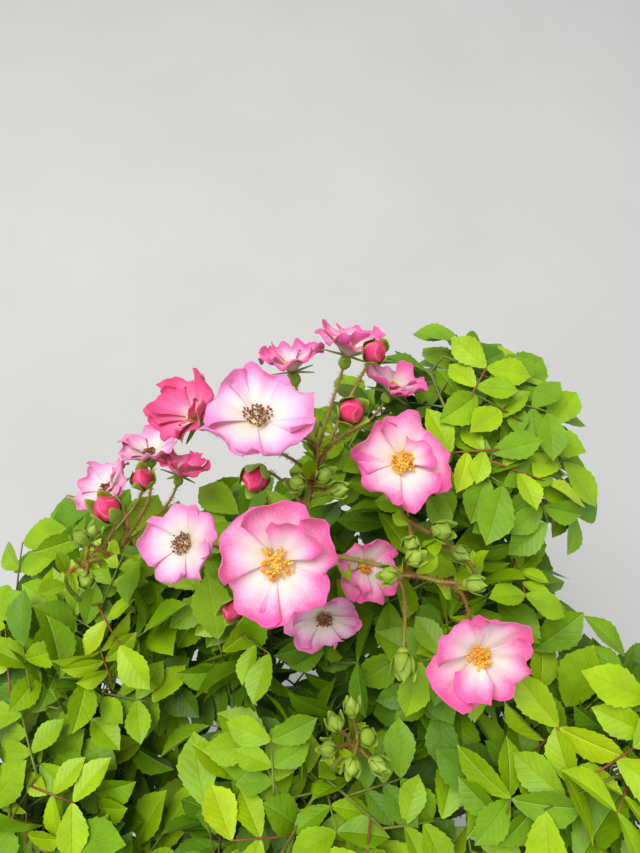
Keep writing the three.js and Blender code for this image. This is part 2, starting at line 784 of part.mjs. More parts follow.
addNode("pot", potSolid(), "pot");
addNode("root_ball", rootBallSolid(), "soil");
addNode("stool", solidOf(stoolGeometry(0)), "wood");
const grownStool = solidOf(stoolGeometry(GAP * 1.2));
for (const { curve, kind, node, carrier } of Object.values(limbs)) {
  const round = solidOf(limb(curve, kind.startRadius, kind.endRadius, kind.sides, kind.steps));
  const seat = carrier ? grownLimb(carrier.curve, carrier.kind) : grownStool;
  addNode(node, fused([round.subtract(seat)]), "cane");
}
for (const name of Object.keys(MASSES)) {
  addNode("foliage_" + name, massSolid(name), "leaf");
}
for (const truss of TRUSSES) {
  addNode(truss.name, trussSolid(truss), "blossom");
}

export default bush;
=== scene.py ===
import json
import math

import bpy
import numpy as np
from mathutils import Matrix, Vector

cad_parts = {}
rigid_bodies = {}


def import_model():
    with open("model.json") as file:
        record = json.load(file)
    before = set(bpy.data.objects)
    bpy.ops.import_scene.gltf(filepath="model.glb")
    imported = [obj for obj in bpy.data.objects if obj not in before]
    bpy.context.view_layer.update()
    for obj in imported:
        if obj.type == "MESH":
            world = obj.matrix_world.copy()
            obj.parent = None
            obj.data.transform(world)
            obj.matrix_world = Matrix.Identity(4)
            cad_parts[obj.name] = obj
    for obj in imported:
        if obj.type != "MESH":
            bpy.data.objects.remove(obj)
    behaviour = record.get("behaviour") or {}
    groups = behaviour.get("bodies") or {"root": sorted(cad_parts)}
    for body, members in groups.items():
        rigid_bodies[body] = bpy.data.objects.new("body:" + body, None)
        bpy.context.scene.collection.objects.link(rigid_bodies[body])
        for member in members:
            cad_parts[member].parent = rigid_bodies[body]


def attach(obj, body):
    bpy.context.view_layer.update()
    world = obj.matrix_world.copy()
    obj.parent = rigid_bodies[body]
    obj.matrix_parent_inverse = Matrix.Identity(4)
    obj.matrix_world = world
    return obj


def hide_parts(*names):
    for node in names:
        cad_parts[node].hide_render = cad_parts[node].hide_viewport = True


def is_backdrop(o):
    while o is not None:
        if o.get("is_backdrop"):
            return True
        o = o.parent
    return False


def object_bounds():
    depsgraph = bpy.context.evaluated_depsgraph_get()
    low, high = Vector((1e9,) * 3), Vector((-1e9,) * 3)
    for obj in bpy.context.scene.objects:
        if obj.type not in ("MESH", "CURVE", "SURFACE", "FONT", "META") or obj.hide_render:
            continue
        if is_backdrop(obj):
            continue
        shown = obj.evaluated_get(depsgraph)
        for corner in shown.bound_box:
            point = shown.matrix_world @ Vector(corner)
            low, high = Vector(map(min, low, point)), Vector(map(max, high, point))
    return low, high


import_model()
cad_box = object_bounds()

# The pot
# A round black blow-moulded nursery pot with a rolled rim, a faint seam of rings under it, and
# drain holes in its flat floor. It is scuffed, and dusty round the foot.
# Sizes are in millimetres, and MM turns them to metres. GAP is left between parts that meet.
MM = 0.001
GAP = 0.3
POT = {"height": 180, "foot": 76, "top": 97, "rim": 104, "rim_depth": 15, "wall": 2, "floor": 3}
POT_SIDES, POT_BEND = 96, 1.6
RINGS = {"count": 4, "lowest": 120, "apart": 9, "half": 1.6, "sunk": 0.1, "proud": 0.45}
DRAIN = {"count": 5, "radius": 6, "ring": 50, "below": -4, "above": 8, "sides": 20}


def found(sockets, key):
    """A socket by its index or its identifier."""
    return sockets[key] if isinstance(key, int) else {s.identifier: s for s in sockets}[key]


class Socket:
    """A node's output, which adds, multiplies and mixes like a number."""

    def __init__(self, tree, link=None):
        self.tree, self.link = tree, link

    def node(self, kind, values=None, out=0, **settings):
        """Any node: its settings, then its sockets' values or links by index or identifier."""
        made = self.tree.nodes.new(kind)
        for key, value in settings.items():
            setattr(made, key, value)
        for key, value in (values or {}).items():
            if isinstance(value, Socket):
                self.tree.links.new(value.link, found(made.inputs, key))
            else:
                found(made.inputs, key).default_value = value
        return Socket(self.tree, found(made.outputs, out))

    def maths(self, operation, *values):
        return self.node("ShaderNodeMath", dict(enumerate(values)), operation=operation)

    def __add__(self, other):
        return self.maths("ADD", self, other)

    def __sub__(self, other):
        return self.maths("SUBTRACT", self, other)

    def __rsub__(self, other):
        return self.maths("SUBTRACT", other, self)

    def __mul__(self, other):
        return self.maths("MULTIPLY", self, other)

    def __abs__(self):
        return self.maths("ABSOLUTE", self)

    __radd__ = __add__
    __rmul__ = __mul__

    def fraction(self):
        return self.maths("FRACT", self)

    def step(self, low, high):
        """0 below low and 1 above high, with a smooth rise between."""
        values = {"Value": self, "From Min": low, "From Max": high}
        return self.node("ShaderNodeMapRange", values, interpolation_type="SMOOTHSTEP")

    def mix(self, low, high):
        """One colour where this is 0, another where it is 1."""
        values = {"Factor_Float": self, "A_Color": low, "B_Color": high}
        return self.node("ShaderNodeMix", values, "Result_Color", data_type="RGBA", clamp_factor=True)

    def place(self):
        return self.node("ShaderNodeTexCoord", out="Object")

    def noise(self, scale, detail=3.0, upright=1, where=None):
        """Noise from 0 to 1 over the object, whose upright scale may be a multiple of the others."""
        where = where or self.place()
        if upright != 1:
            where = self.node("ShaderNodeVectorMath", {0: where, 1: (1, 1, upright)}, operation="MULTIPLY")
        values = {"Vector": where, "Scale": scale, "Detail": detail}
        return self.node("ShaderNodeTexNoise", values, "Fac")

    def uv(self, axis):
        where = self.node("ShaderNodeUVMap", uv_map="UVMap")
        return self.node("ShaderNodeSeparateXYZ", {0: where}, axis)

    def bump(self, strength, distance):
        values = {"Height": self, "Strength": strength, "Distance": distance}
        return self.node("ShaderNodeBump", values)


def colour(red, green, blue):
    """Screen values from 0 to 255 as a linear colour."""
    parts = [c / 255 for c in (red, green, blue)]
    return (*[c / 12.92 if c < 0.04045 else ((c + 0.055) / 1.055) ** 2.4 for c in parts], 1.0)


def material(name, recipe, **constants):
    """A material whose recipe gives its base colour, its roughness and, where it has one, its bump."""
    made = bpy.data.materials.new(name)
    made.use_nodes = True
    shader = made.node_tree.nodes["Principled BSDF"]
    for key, value in constants.items():
        shader.inputs[key.replace("_", " ").title().replace("Ior", "IOR")].default_value = value
    for key, value in zip(("Base Color", "Roughness", "Normal"), recipe(Socket(made.node_tree))):
        made.node_tree.links.new(value.link, shader.inputs[key])
    return made


class Batch:
    """Vertices and faces in millimetres, gathered into one piece."""

    def __init__(self):
        self.points, self.faces, self.uvs, self.slots, self.count = [], [], [], [], 0

    def add(self, points, faces, uv=None, slot=0):
        """faces is a list of arrays with a row a face, slot one number or one for each array."""
        points = np.asarray(points, float).reshape(-1, 3)
        uv = np.zeros((len(points), 2)) if uv is None else uv
        for block, number in zip(faces, np.broadcast_to(slot, len(faces))):
            self.faces.append(block + self.count)
            self.uvs.append(uv[block.ravel()])
            self.slots.append(np.full(len(block), number))
        self.points.append(points)
        self.count += len(points)

    def add_mesh(self, mesh, slot):
        places = np.empty(len(mesh.vertices) * 3)
        mesh.vertices.foreach_get("co", places)
        mesh.calc_loop_triangles()
        corners = np.empty(len(mesh.loop_triangles) * 3, int)
        mesh.loop_triangles.foreach_get("vertices", corners)
        self.add(places / MM, [corners.reshape(-1, 3)], slot=slot)

    def mesh(self, name, materials, smooth=True):
        made = bpy.data.meshes.new(name)
        places = np.concatenate(self.points) * MM
        made.vertices.add(len(places))
        made.vertices.foreach_set("co", places.ravel())
        totals = np.concatenate([np.full(len(f), f.shape[1]) for f in self.faces])
        made.loops.add(int(totals.sum()))
        made.loops.foreach_set("vertex_index", np.concatenate([f.ravel() for f in self.faces]))
        made.polygons.add(len(totals))
        made.polygons.foreach_set("loop_start", np.concatenate([[0], np.cumsum(totals)[:-1]]))
        made.polygons.foreach_set("loop_total", totals)
        made.polygons.foreach_set("material_index", np.concatenate(self.slots))
        layer = made.uv_layers.new(name="UVMap")
        layer.data.foreach_set("uv", np.concatenate(self.uvs).ravel())
        for one in materials:
            made.materials.append(one)
        made.update(calc_edges=True)
        made.validate()
        made.polygons.foreach_set("use_smooth", np.full(len(made.polygons), smooth))
        return made


def new_object(name, data):
    made = bpy.data.objects.new(name, data)
    bpy.context.scene.collection.objects.link(made)
    return made


def piece(name, shape, node, materials=(), smooth=True):
    """A finished piece that stands for a solid, from a mesh or from a batch with its materials."""
    mesh = shape.mesh(name, materials, smooth) if isinstance(shape, Batch) else shape
    made = new_object(name, mesh)
    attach(made, "root")
    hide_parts(node)


def applied(made, modifier):
    """The object's mesh with the modifier's work in it. The object is used up."""
    mesh = bpy.data.meshes.new_from_object(made.evaluated_get(bpy.context.evaluated_depsgraph_get()))
    made.modifiers.remove(modifier)
    bpy.data.objects.remove(made)
    return mesh


def grid_faces(rows, columns, closed=True):
    """Faces over a grid of points. A closed grid's last column is joined to its first."""
    a, b = np.meshgrid(np.arange(rows - 1), np.arange(columns - 1 + closed), indexing="ij")
    here, after = a * columns + b, a * columns + (b + 1) % columns
    return np.stack([here, after, after + columns, here + columns], -1).reshape(-1, 4)


def lathe(outline, sides, wobble=None):
    """A closed turned shape: outline runs from the axis back to the axis, and out from below."""
    outline = np.array(outline, float)
    angle = 2 * np.pi * np.arange(sides) / sides
    inner = outline[1:-1]
    radius, height = inner[:, :1] * np.ones(sides), inner[:, 1:] * np.ones(sides)
    if wobble is not None:
        radius = radius * wobble(angle[None, :], height)
    rings = np.stack([radius * np.cos(angle), radius * np.sin(angle), height], -1).reshape(-1, 3)
    points = np.concatenate([[[0, 0, outline[0, 1]]], rings, [[0, 0, outline[-1, 1]]]])
    j = np.arange(sides)
    last = 1 + (len(inner) - 1) * sides
    first_fan = np.stack([np.zeros(sides, int), 1 + (j + 1) % sides, 1 + j], -1)
    last_fan = np.stack([np.full(sides, len(points) - 1), last + j, last + (j + 1) % sides], -1)
    share = np.concatenate([[0], np.repeat(np.linspace(0, 1, len(inner)), sides), [1]])
    round_it = np.concatenate([[0], np.tile(j / sides, len(inner)), [0]])
    faces = [1 + grid_faces(len(inner), sides), np.concatenate([first_fan, last_fan])]
    return points, faces, np.stack([round_it, share], 1)


def plastic(s):
    z = s.node("ShaderNodeSeparateXYZ", {0: s.place()}, "Z")
    dust = (s.noise(28, 5) * 0.7 + (1 - z.step(0.0, 0.09)) * 0.35).step(0.45, 0.85)
    scuff = s.noise(9, 6, 14).step(0.6, 0.75)
    base = dust.mix(colour(20, 21, 23), colour(70, 66, 60))
    grain = s.noise(900, 2) + scuff * 0.6
    rough = 0.38 + dust * 0.4 + scuff * 0.15
    return (scuff * 0.25).mix(base, colour(96, 96, 98)), rough, grain.bump(0.12, 0.0004)


def rounded(points, radius, steps=4):
    """An outline whose inner corners are rounded by about radius."""
    points = [np.array(p, float) for p in points]
    made = [points[0]]
    for before, corner, after in zip(points, points[1:], points[2:]):
        one, two = before - corner, after - corner
        cut = min(radius, np.linalg.norm(one) * 0.45, np.linalg.norm(two) * 0.45)
        one, two = one / np.linalg.norm(one) * cut, two / np.linalg.norm(two) * cut
        made += [corner + one * (1 - t) ** 2 + two * t**2 for t in np.linspace(0, 1, steps)]
    return made + [points[-1]]


under = POT["height"] - POT["rim_depth"]
wall_outline = [(0, 0), (POT["foot"], 0)]
for ring in range(RINGS["count"]):
    z = RINGS["lowest"] + ring * RINGS["apart"]
    r = POT["foot"] + (POT["top"] - POT["foot"]) * z / under
    inward = r - RINGS["sunk"]
    wall_outline += [(inward, z - RINGS["half"]), (r + RINGS["proud"], z), (inward, z + RINGS["half"])]
wall_outline += [
    (POT["top"], under),
    (POT["rim"] - 0.4, under + 1),
    (POT["rim"], under + 3),
    (POT["rim"], POT["height"] - 3),
    (POT["rim"] - 3, POT["height"]),
    (POT["top"] - POT["wall"] + 1, POT["height"] - 1),
    (POT["top"] - POT["wall"], under),
    (POT["foot"] - POT["wall"], POT["floor"]),
    (0, POT["floor"]),
]
wall, drills = Batch(), Batch()
wall.add(*lathe(rounded(wall_outline, POT_BEND), POT_SIDES))
hole_radius, low, high = DRAIN["radius"], DRAIN["below"], DRAIN["above"]
hole_outline = [(0, low), (hole_radius, low), (hole_radius, high), (0, high)]
hole, hole_faces, _ = lathe(hole_outline, DRAIN["sides"])
for i in range(DRAIN["count"]):
    turn = 2 * math.pi * i / DRAIN["count"]
    drills.add(hole + [DRAIN["ring"] * math.cos(turn), DRAIN["ring"] * math.sin(turn), 0], hole_faces)
pot_finish = material("pot_plastic", plastic, coat_weight=0.08)
uncut = new_object("uncut_pot", wall.mesh("pot_wall", [pot_finish]))
drill = new_object("drill", drills.mesh("drill", []))
cut = uncut.modifiers.new("holes", "BOOLEAN")
cut.object, cut.operation, cut.solver = drill, "DIFFERENCE", "EXACT"
piece("pot_wall", applied(uncut, cut), "pot")
bpy.data.objects.remove(drill)

# The root ball
# Dark moist potting mix to a finger's width under the rim, crumbly on top, with bark chips.
SOIL_TOP, SOIL_SIDES = 164, 72
# The ripples on the mix, from the outside in, and the disc that the crumbs lie on.
RIPPLES, RIPPLE_HEIGHT = range(82, 20, -4), 0.7
DISC = {"radius": 88, "bottom": 1, "top": 0.6, "sides": 48}
# The crumbs and the chips, in metres for the nodes.
LOOSE = {
    "potting_mix": {"density": 70000.0, "radius": 0.0021, "seed": 5},
    "bark_chips": {"density": 5200.0, "radius": 0.0036, "seed": 9},
}


def potting_mix(s):
    lumps, fine = s.noise(60, 6), s.noise(420, 4)
    tone = (lumps * 0.6 + fine * 0.5).step(0.3, 0.8)
    height = lumps + fine * 0.5
    return tone.mix(colour(26, 17, 11), colour(84, 58, 38)), 0.75 + fine * 0.25, height.bump(0.6, 0.002)


def chip_bark(s):
    tone = s.noise(90, 3)
    base = tone.step(0.35, 0.7).mix(colour(66, 42, 26), colour(150, 108, 70))
    return base, 0.7 + tone * 0.3, s.noise(500, 3).bump(0.4, 0.001)


def by_nodes(source, build, finish, **settings):
    """Runs a node group over a mesh and gives the outcome as a plain mesh."""
    tree = bpy.data.node_groups.new("grow", "GeometryNodeTree")
    for end in ("INPUT", "OUTPUT"):
        tree.interface.new_socket("Geometry", in_out=end, socket_type="NodeSocketGeometry")
    kinds = {float: "NodeSocketFloat", int: "NodeSocketInt"}
    names = {}
    for key, value in settings.items():
        made = tree.interface.new_socket(key, in_out="INPUT", socket_type=kinds[type(value)])
        names[key] = made.identifier
    inputs = {s.name: Socket(tree, s) for s in tree.nodes.new("NodeGroupInput").outputs}
    grown = build(inputs["Geometry"], inputs)
    plain = grown.node("GeometryNodeRealizeInstances", {0: grown})
    done = plain.node("GeometryNodeSetMaterial", {"Geometry": plain, "Material": finish})
    tree.links.new(done.link, tree.nodes.new("NodeGroupOutput").inputs[0])
    holder = new_object("grow", source)
    modifier = holder.modifiers.new("grow", "NODES")
    modifier.node_group = tree
    for key, value in settings.items():
        modifier[names[key]] = value
    outcome = applied(holder, modifier)
    bpy.data.node_groups.remove(tree)
    return outcome


def crumbs(geometry, inputs):
    """Rounded crumbs scattered on a surface, each turned and sized at random."""
    values = {"Mesh": geometry, "Density": inputs["density"], "Seed": inputs["seed"]}
    spread = geometry.node("GeometryNodeDistributePointsOnFaces", values)
    ball = geometry.node("GeometryNodeMeshIcoSphere", {"Radius": inputs["radius"], "Subdivisions": 1})
    flat = geometry.node("GeometryNodeTransform", {"Geometry": ball, "Scale": (1, 0.8, 0.6)})
    by_chance = "FunctionNodeRandomValue"
    turn = geometry.node(by_chance, {"Max": (6.28,) * 3, "Seed": 3}, data_type="FLOAT_VECTOR")
    turned = geometry.node("FunctionNodeEulerToRotation", {0: turn})
    values = {"Min_001": 0.35, "Max_001": 1.25, "Seed": 4}
    size = geometry.node(by_chance, values, "Value_001", data_type="FLOAT")
    values = {"Points": spread, "Instance": flat, "Rotation": turned, "Scale": size}
    return geometry.node("GeometryNodeInstanceOnPoints", values)


soil_finishes = [material("potting_mix", potting_mix), material("bark_chips", chip_bark)]
rise = (POT["top"] - POT["foot"]) / under
inset = POT["wall"] + 3 * GAP
soil_outline = [
    (0, POT["floor"] + GAP),
    (POT["foot"] + rise * POT["floor"] - inset, POT["floor"] + GAP),
    (POT["foot"] + rise * SOIL_TOP - inset - 1, SOIL_TOP - 3),
]
soil_outline += [(r, SOIL_TOP - 0.8 + RIPPLE_HEIGHT * math.sin(r)) for r in RIPPLES]
soil_outline += [(0, SOIL_TOP)]
soil, top, loose = Batch(), Batch(), Batch()
soil.add(*lathe(soil_outline, SOIL_SIDES))
piece("root_ball_mix", soil, "root_ball", soil_finishes[:1])
wide, low, high = DISC["radius"], SOIL_TOP - DISC["bottom"], SOIL_TOP - DISC["top"]
top.add(*lathe([(0, low), (wide, low), (wide, high), (0, high)], DISC["sides"]))
for slot, sizes in enumerate(LOOSE.values()):
    loose.add_mesh(by_nodes(top.mesh("soil_top", []), crumbs, soil_finishes[slot], **sizes), slot)
piece("soil_crumbs", loose, "root_ball", soil_finishes, smooth=False)

# The stool
# The knob of old grey-brown wood at soil level, ridged and scarred, that all the canes come from.
# It is rooted in the mix.
STOOL = {"foot": 20, "waist": 15, "head": 17, "height": 24, "bend": 4, "sides": 64}


def old_bark(s):
    ridges = s.noise(70, 6, 0.25)
    base = ridges.step(0.35, 0.7).mix(colour(58, 42, 26), colour(142, 122, 88))
    return base, 0.7 + ridges * 0.3, (ridges + s.noise(400, 4) * 0.3).bump(0.7, 0.0015)


def knobbly(angle, height):
    ridges = 0.05 * np.sin(5 * angle + height * 0.35) + 0.03 * np.sin(11 * angle - height * 0.6)
    return 1 + ridges + 0.02 * np.sin(23 * angle + height)


foot, tall = SOIL_TOP + GAP, STOOL["height"]
stool_outline = [(0, foot), (STOOL["foot"] * 0.94, foot)]
for part, share, up in (
    ("foot", 0.82, 0.16),
    ("waist", 1, 0.35),
    ("waist", 1.05, 0.52),
    ("head", 0.97, 0.7),
    ("head", 0.86, 0.9),
    ("head", 0.5, 0.99),
):
    stool_outline.append((STOOL[part] * share, foot + tall * up))
stool = Batch()
stool_outline = rounded(stool_outline + [(0, foot + tall)], STOOL["bend"])
stool.add(*lathe(stool_outline, STOOL["sides"], knobbly))
piece("stool_wood", stool, "stool", [material("old_bark", old_bark)])

# The canes and boughs
# Smooth green young wood, browner below, swollen at its joints and set with small hooked prickles.
# Each cane leads to one mass of foliage, and each bough leaves its cane for another. Every mass is
# given by its centre and its seed.
GOLDEN_ANGLE = 2.39996
# How far a mass may reach from its centre.
REACH = {"side": 110, "up": 76, "down": 120}
MASS_PLACES = {
    "far_left": (-118, 185, 420, 3),
    "far_middle": (-5, 195, 425, 5),
    "far_right": (112, 185, 450, 8),
    "far_tip": (112, 285, 480, 13),
    "left": (-150, 65, 405, 21),
    "middle": (30, 85, 430, 34),
    "right": (190, 95, 465, 55),
    "near_left": (-118, -70, 395, 89),
    "near_middle": (10, -50, 430, 144),
    "near_right": (132, -45, 420, 233),
    "near_tip": (15, -170, 385, 377),
}
MASSES = {
    name: {"centre": np.array(centre, float), "seed": seed}
    for name, (*centre, seed) in MASS_PLACES.items()
}
# The side that each cane leans to, in degrees, and the cane that each bough leaves, at a share.
CANES = {
    "right": 5,
    "far_right": 47,
    "middle": 85,
    "far_middle": 120,
    "left": 160,
    "near_left": 207,
    "near_tip": 262,
    "near_right": 318,
}
BOUGHS = {
    "far_left": ("left", 0.5),
    "far_tip": ("far_right", 0.55),
    "near_middle": ("near_tip", 0.45),
}
CANE_RADII, BOUGH_RADII, STEM_RADII = (3.7, 2.5), (2.9, 2.2), (2.1, 1.3)
# The circle of the canes' feet, and where a stem ends over its mass's centre and outside it.
CANE_RING, STEM_RISE, STEM_OUTWARD = 13, 52, 14
# How far from a mass's centre a limb's tip may end, the step that finds it, and its room.
FARTHEST_TIP, TIP_STEP, TIP_ROOM = 80, 3, 7
# The generator's factor and modulus, and how far apart seeds start.
FACTOR, MODULUS, SEED_STEP, SEED_START = 48271, 2147483647, 7919, 101
UP = np.array([0.0, 0.0, 1.0])
ALONG_X = np.array([1.0, 0.0, 0.0])
CANE_SIDES, CANE_STEP = 14, 2.2
# How far prickles stand apart, and a prickle's size in metres for the nodes.
PRICKLE_EVERY, PRICKLE = 9, {"length": 0.0036, "radius": 0.0008}


def unit(v):
    v = np.asarray(v, float)
    return v / np.linalg.norm(v, axis=-1, keepdims=True)


def cross(a, b):
    """The vector product of two single vectors."""
    (x, y, z), (p, q, r) = a.tolist(), b.tolist()
    return np.array([y * r - z * q, z * p - x * r, x * q - y * p])


def seeded(seed):
    """The bush's own small generator, so that each limb and leaf grows the same every time."""
    state = [(seed * SEED_STEP + SEED_START) * FACTOR**2 % MODULUS]

    def draw():
        state[0] = state[0] * FACTOR % MODULUS
        return state[0] / MODULUS

    return draw


class Curve:
    """A Bezier curve that is walked by its length."""

    def __init__(self, *points):
        self.points = np.array(points, float)
        self.steps = np.linspace(0, 1, 201)
        walked = np.linalg.norm(np.diff(self.raw(self.steps, self.points), axis=0), axis=1)
        self.lengths = np.concatenate([[0], np.cumsum(walked)])
        self.length = self.lengths[-1]

    def raw(self, t, points):
        t = np.atleast_1d(t)[:, None]
        n = len(points) - 1
        return sum(math.comb(n, k) * (1 - t) ** (n - k) * t**k * points[k] for k in range(n + 1))

    def t(self, share):
        return np.interp(np.asarray(share) * self.length, self.lengths, self.steps)

    def at(self, share):
        places = self.raw(self.t(share), self.points)
        return places[0] if np.ndim(share) == 0 else places

    def way(self, share):
        ways = unit(self.raw(self.t(share), np.diff(self.points, axis=0)))
        return ways[0] if np.ndim(share) == 0 else ways


for name, mass in MASSES.items():
    apart = np.array([m["centre"] - mass["centre"] for other, m in MASSES.items() if other != name])
    distances = np.linalg.norm(apart, axis=1)
    mass["ways"], mass["halves"] = (apart / distances[:, None]).T, distances / 2


def in_own_space(points, name, margin, border=0.0, edge=0.0):
    """Which points are nearer to this mass's centre than to the others', and within its reach.

    border widens the side that it shares with its neighbours, and edge narrows its open side."""
    mass = MASSES[name]
    off = np.atleast_2d(points) - mass["centre"]
    upright = np.where(off[:, 2] > 0, REACH["up"], REACH["down"]) - margin - edge
    across = REACH["side"] - margin - edge
    good = (off[:, 0] ** 2 + off[:, 1] ** 2) / across**2 + (off[:, 2] / upright) ** 2 <= 1
    return good & (off @ mass["ways"] < mass["halves"] - margin + border).all(axis=1)


def limb_curve(start, start_way, name, towards):
    """A limb from its start to the side of the mass's space that faces the point it comes from."""
    centre = MASSES[name]["centre"]
    way = unit(towards - centre)
    far = 0
    while far < FARTHEST_TIP and in_own_space(centre + way * (far + TIP_STEP), name, TIP_ROOM)[0]:
        far += TIP_STEP
    tip = centre + way * far
    reach = np.linalg.norm(tip - start)
    return Curve(start, start + start_way * reach * 0.4, tip - unit(centre - tip) * reach * 0.3, tip)


limbs = {}
stool_head = np.array([0, 0, foot + tall])
for name, angle in CANES.items():
    out = np.array([math.cos(math.radians(angle)), math.sin(math.radians(angle)), 0])
    start = out * CANE_RING + UP * (foot + tall * 0.6)
    limbs[name] = (limb_curve(start, unit(out * 0.5 + UP), name, stool_head), CANE_RADII, "cane_" + name)
for name, (carrier, share) in BOUGHS.items():
    curve = limbs[carrier][0]
    start = curve.at(share)
    way = unit(curve.way(share) * 0.4 + unit(MASSES[name]["centre"] - start))
    limbs[name] = (limb_curve(start, way, name, start), BOUGH_RADII, "bough_" + name)
for name, mass in MASSES.items():
    tip, way = limbs[name][0].at(1.0), limbs[name][0].way(1.0)
    mass["outward"] = unit(mass["centre"] * [1, 1, 0])
    start = tip + way * GAP * 1.2
    high = mass["centre"] + UP * STEM_RISE + mass["outward"] * STEM_OUTWARD
    mass["stem"] = Curve(start, start + way * np.linalg.norm(high - start) * 0.5, high)


def tube(points, radii, sides):
    """A closed limb through points, with a radius at each, and uv along it and round it."""
    points = np.asarray(points, float)
    ways = unit(np.gradient(points, axis=0))
    side = unit(np.cross(ways[0], ALONG_X if abs(ways[0][0]) < 0.9 else UP))
    frames = []
    for way in ways:
        side = unit(side - way * (side @ way))
        frames.append((side, np.cross(way, side)))
    frames = np.array(frames)
    angle = 2 * np.pi * np.arange(sides) / sides
    radii = np.asarray(radii, float)
    radii = radii[:, None] * np.ones(sides) if radii.ndim == 1 else radii
    ring = frames[:, 0, None] * np.cos(angle)[:, None] + frames[:, 1, None] * np.sin(angle)[:, None]
    rings = (points[:, None] + ring * radii[:, :, None]).reshape(-1, 3)
    n, j = len(points), np.arange(sides)
    caps = np.stack([j[::-1], (n - 1) * sides + j])
    uv = np.stack([np.tile(j / sides, n), np.repeat(np.linspace(0, 1, n), sides)], 1)
    return rings, [grid_faces(n, sides), caps], uv


def scatter(points, ways, sizes, finish, build, **settings):
    """Repeats a small shape at points, turned along ways and sized by sizes."""
    source = bpy.data.meshes.new("points")
    source.vertices.add(len(points))
    source.vertices.foreach_set("co", (np.asarray(points) * MM).ravel())
    way = source.attributes.new("way", "FLOAT_VECTOR", "POINT")
    way.data.foreach_set("vector", np.asarray(ways, float).ravel())
    size = source.attributes.new("size", "FLOAT", "POINT")
    size.data.foreach_set("value", np.asarray(sizes, float))

    def set_out(geometry, inputs):
        named = "GeometryNodeInputNamedAttribute"
        way = geometry.node(named, {"Name": "way"}, data_type="FLOAT_VECTOR")
        size = geometry.node(named, {"Name": "size"}, data_type="FLOAT")
        turned = geometry.node("FunctionNodeAlignRotationToVector", {"Vector": way}, axis="Z")
        cloud = geometry.node("GeometryNodeMeshToPoints", {"Mesh": geometry})
        values = {"Points": cloud, "Instance": build(inputs), "Rotation": turned, "Scale": size}
        return geometry.node("GeometryNodeInstanceOnPoints", values)

    return by_nodes(source, set_out, finish, **settings)


def spike(inputs):
    """A thin cone that stands on its base."""
    values = {"Vertices": 4, "Radius Bottom": inputs["radius"], "Depth": inputs["length"]}
    return inputs["length"].node("GeometryNodeMeshCone", values, fill_type="NONE")


def bead(inputs):
    """A little ball."""
    return inputs["radius"].node("GeometryNodeMeshIcoSphere", {"Radius": inputs["radius"]})


def young_wood(s):
    along = s.uv("Y")
    streaks = s.noise(60, 5, 0.2)
    brown = ((1 - along) * 0.9 + streaks * 0.7 - 0.35).step(0.25, 0.85)
    green = s.noise(25, 2).step(0.4, 0.62).mix(colour(104, 116, 30), colour(130, 142, 52))
    bark = (streaks + s.noise(500, 3) * 0.3).bump(0.35, 0.0006)
    return brown.mix(green, colour(104, 76, 44)), 0.42 + brown * 0.35, bark


def toned(name, low, high, noise, rough, band=None, grain=None):
    """A finish that goes from one colour to another by its noise, rougher where it is the other.

    noise is a scale and a detail, band narrows it, and grain is the noise and strength of a bump."""

    def recipe(s):
        tone = s.noise(*noise).step(*band) if band else s.noise(*noise)
        look = (tone.mix(colour(*low), colour(*high)), rough[0] + tone * rough[1])
        return (*look, s.noise(*grain[:2]).bump(*grain[2:])) if grain else look

    return material(name, recipe)


cane_finishes = [
    material("young_wood", young_wood),
    toned("prickle_horn", (120, 60, 36), (176, 118, 70), (120, 2), (0.4, 0.2)),
]
for index, (curve, radii, node) in enumerate(limbs.values()):
    draw = seeded(700 + index)
    share = np.linspace(0, 1, int(curve.length / CANE_STEP))
    radius = radii[0] + (radii[1] - radii[0]) * share
    spacing = curve.length / (24 + 8 * draw())
    joint = np.abs((share * spacing + draw()) % 1 - 0.5) * 2
    swelling = 1 + 0.13 * np.clip(1 - joint * 7, 0, 1) - 0.03 * np.sin(share * 37 + index)
    angle = 2 * np.pi * np.arange(CANE_SIDES) / CANE_SIDES
    relief = 0.035 * np.sin(3 * angle + share[:, None] * 21) + 0.02 * np.sin(7 * angle - share[:, None] * 60)
    limb = Batch()
    limb.add(*tube(curve.at(share), (radius * swelling)[:, None] * (1 + relief) * 0.97, CANE_SIDES))
    spots = np.arange(1, int(curve.length / PRICKLE_EVERY)) * PRICKLE_EVERY / curve.length
    spots = spots + [0.4 * (draw() - 0.5) * PRICKLE_EVERY / curve.length for _ in spots]
    ways = curve.way(spots)
    turn = np.array([2 * np.pi * draw() for _ in spots])
    side = unit(np.cross(ways, ALONG_X))
    out = side * np.cos(turn)[:, None] + np.cross(ways, side) * np.sin(turn)[:, None]
    roots = curve.at(spots) + out * (radii[0] + (radii[1] - radii[0]) * spots)[:, None] * 0.85
    sizes = [0.55 + 0.6 * draw() for _ in spots]
    prickle_ways = unit(out - ways * 0.45)
    limb.add_mesh(scatter(roots, prickle_ways, sizes, cane_finishes[1], spike, **PRICKLE), 1)
    piece(node + "_bark", limb, node, cane_finishes)

# The trusses' plan
# Where each truss's axis, blooms and buds stand on their thin green stalks, which the foliage has
# to keep clear of.
AXIS_RADII, STALK_RADII = (1.5, 1.0), (0.85, 0.8)
FIRST_STALK, LAST_STALK = 0.42, 0.985
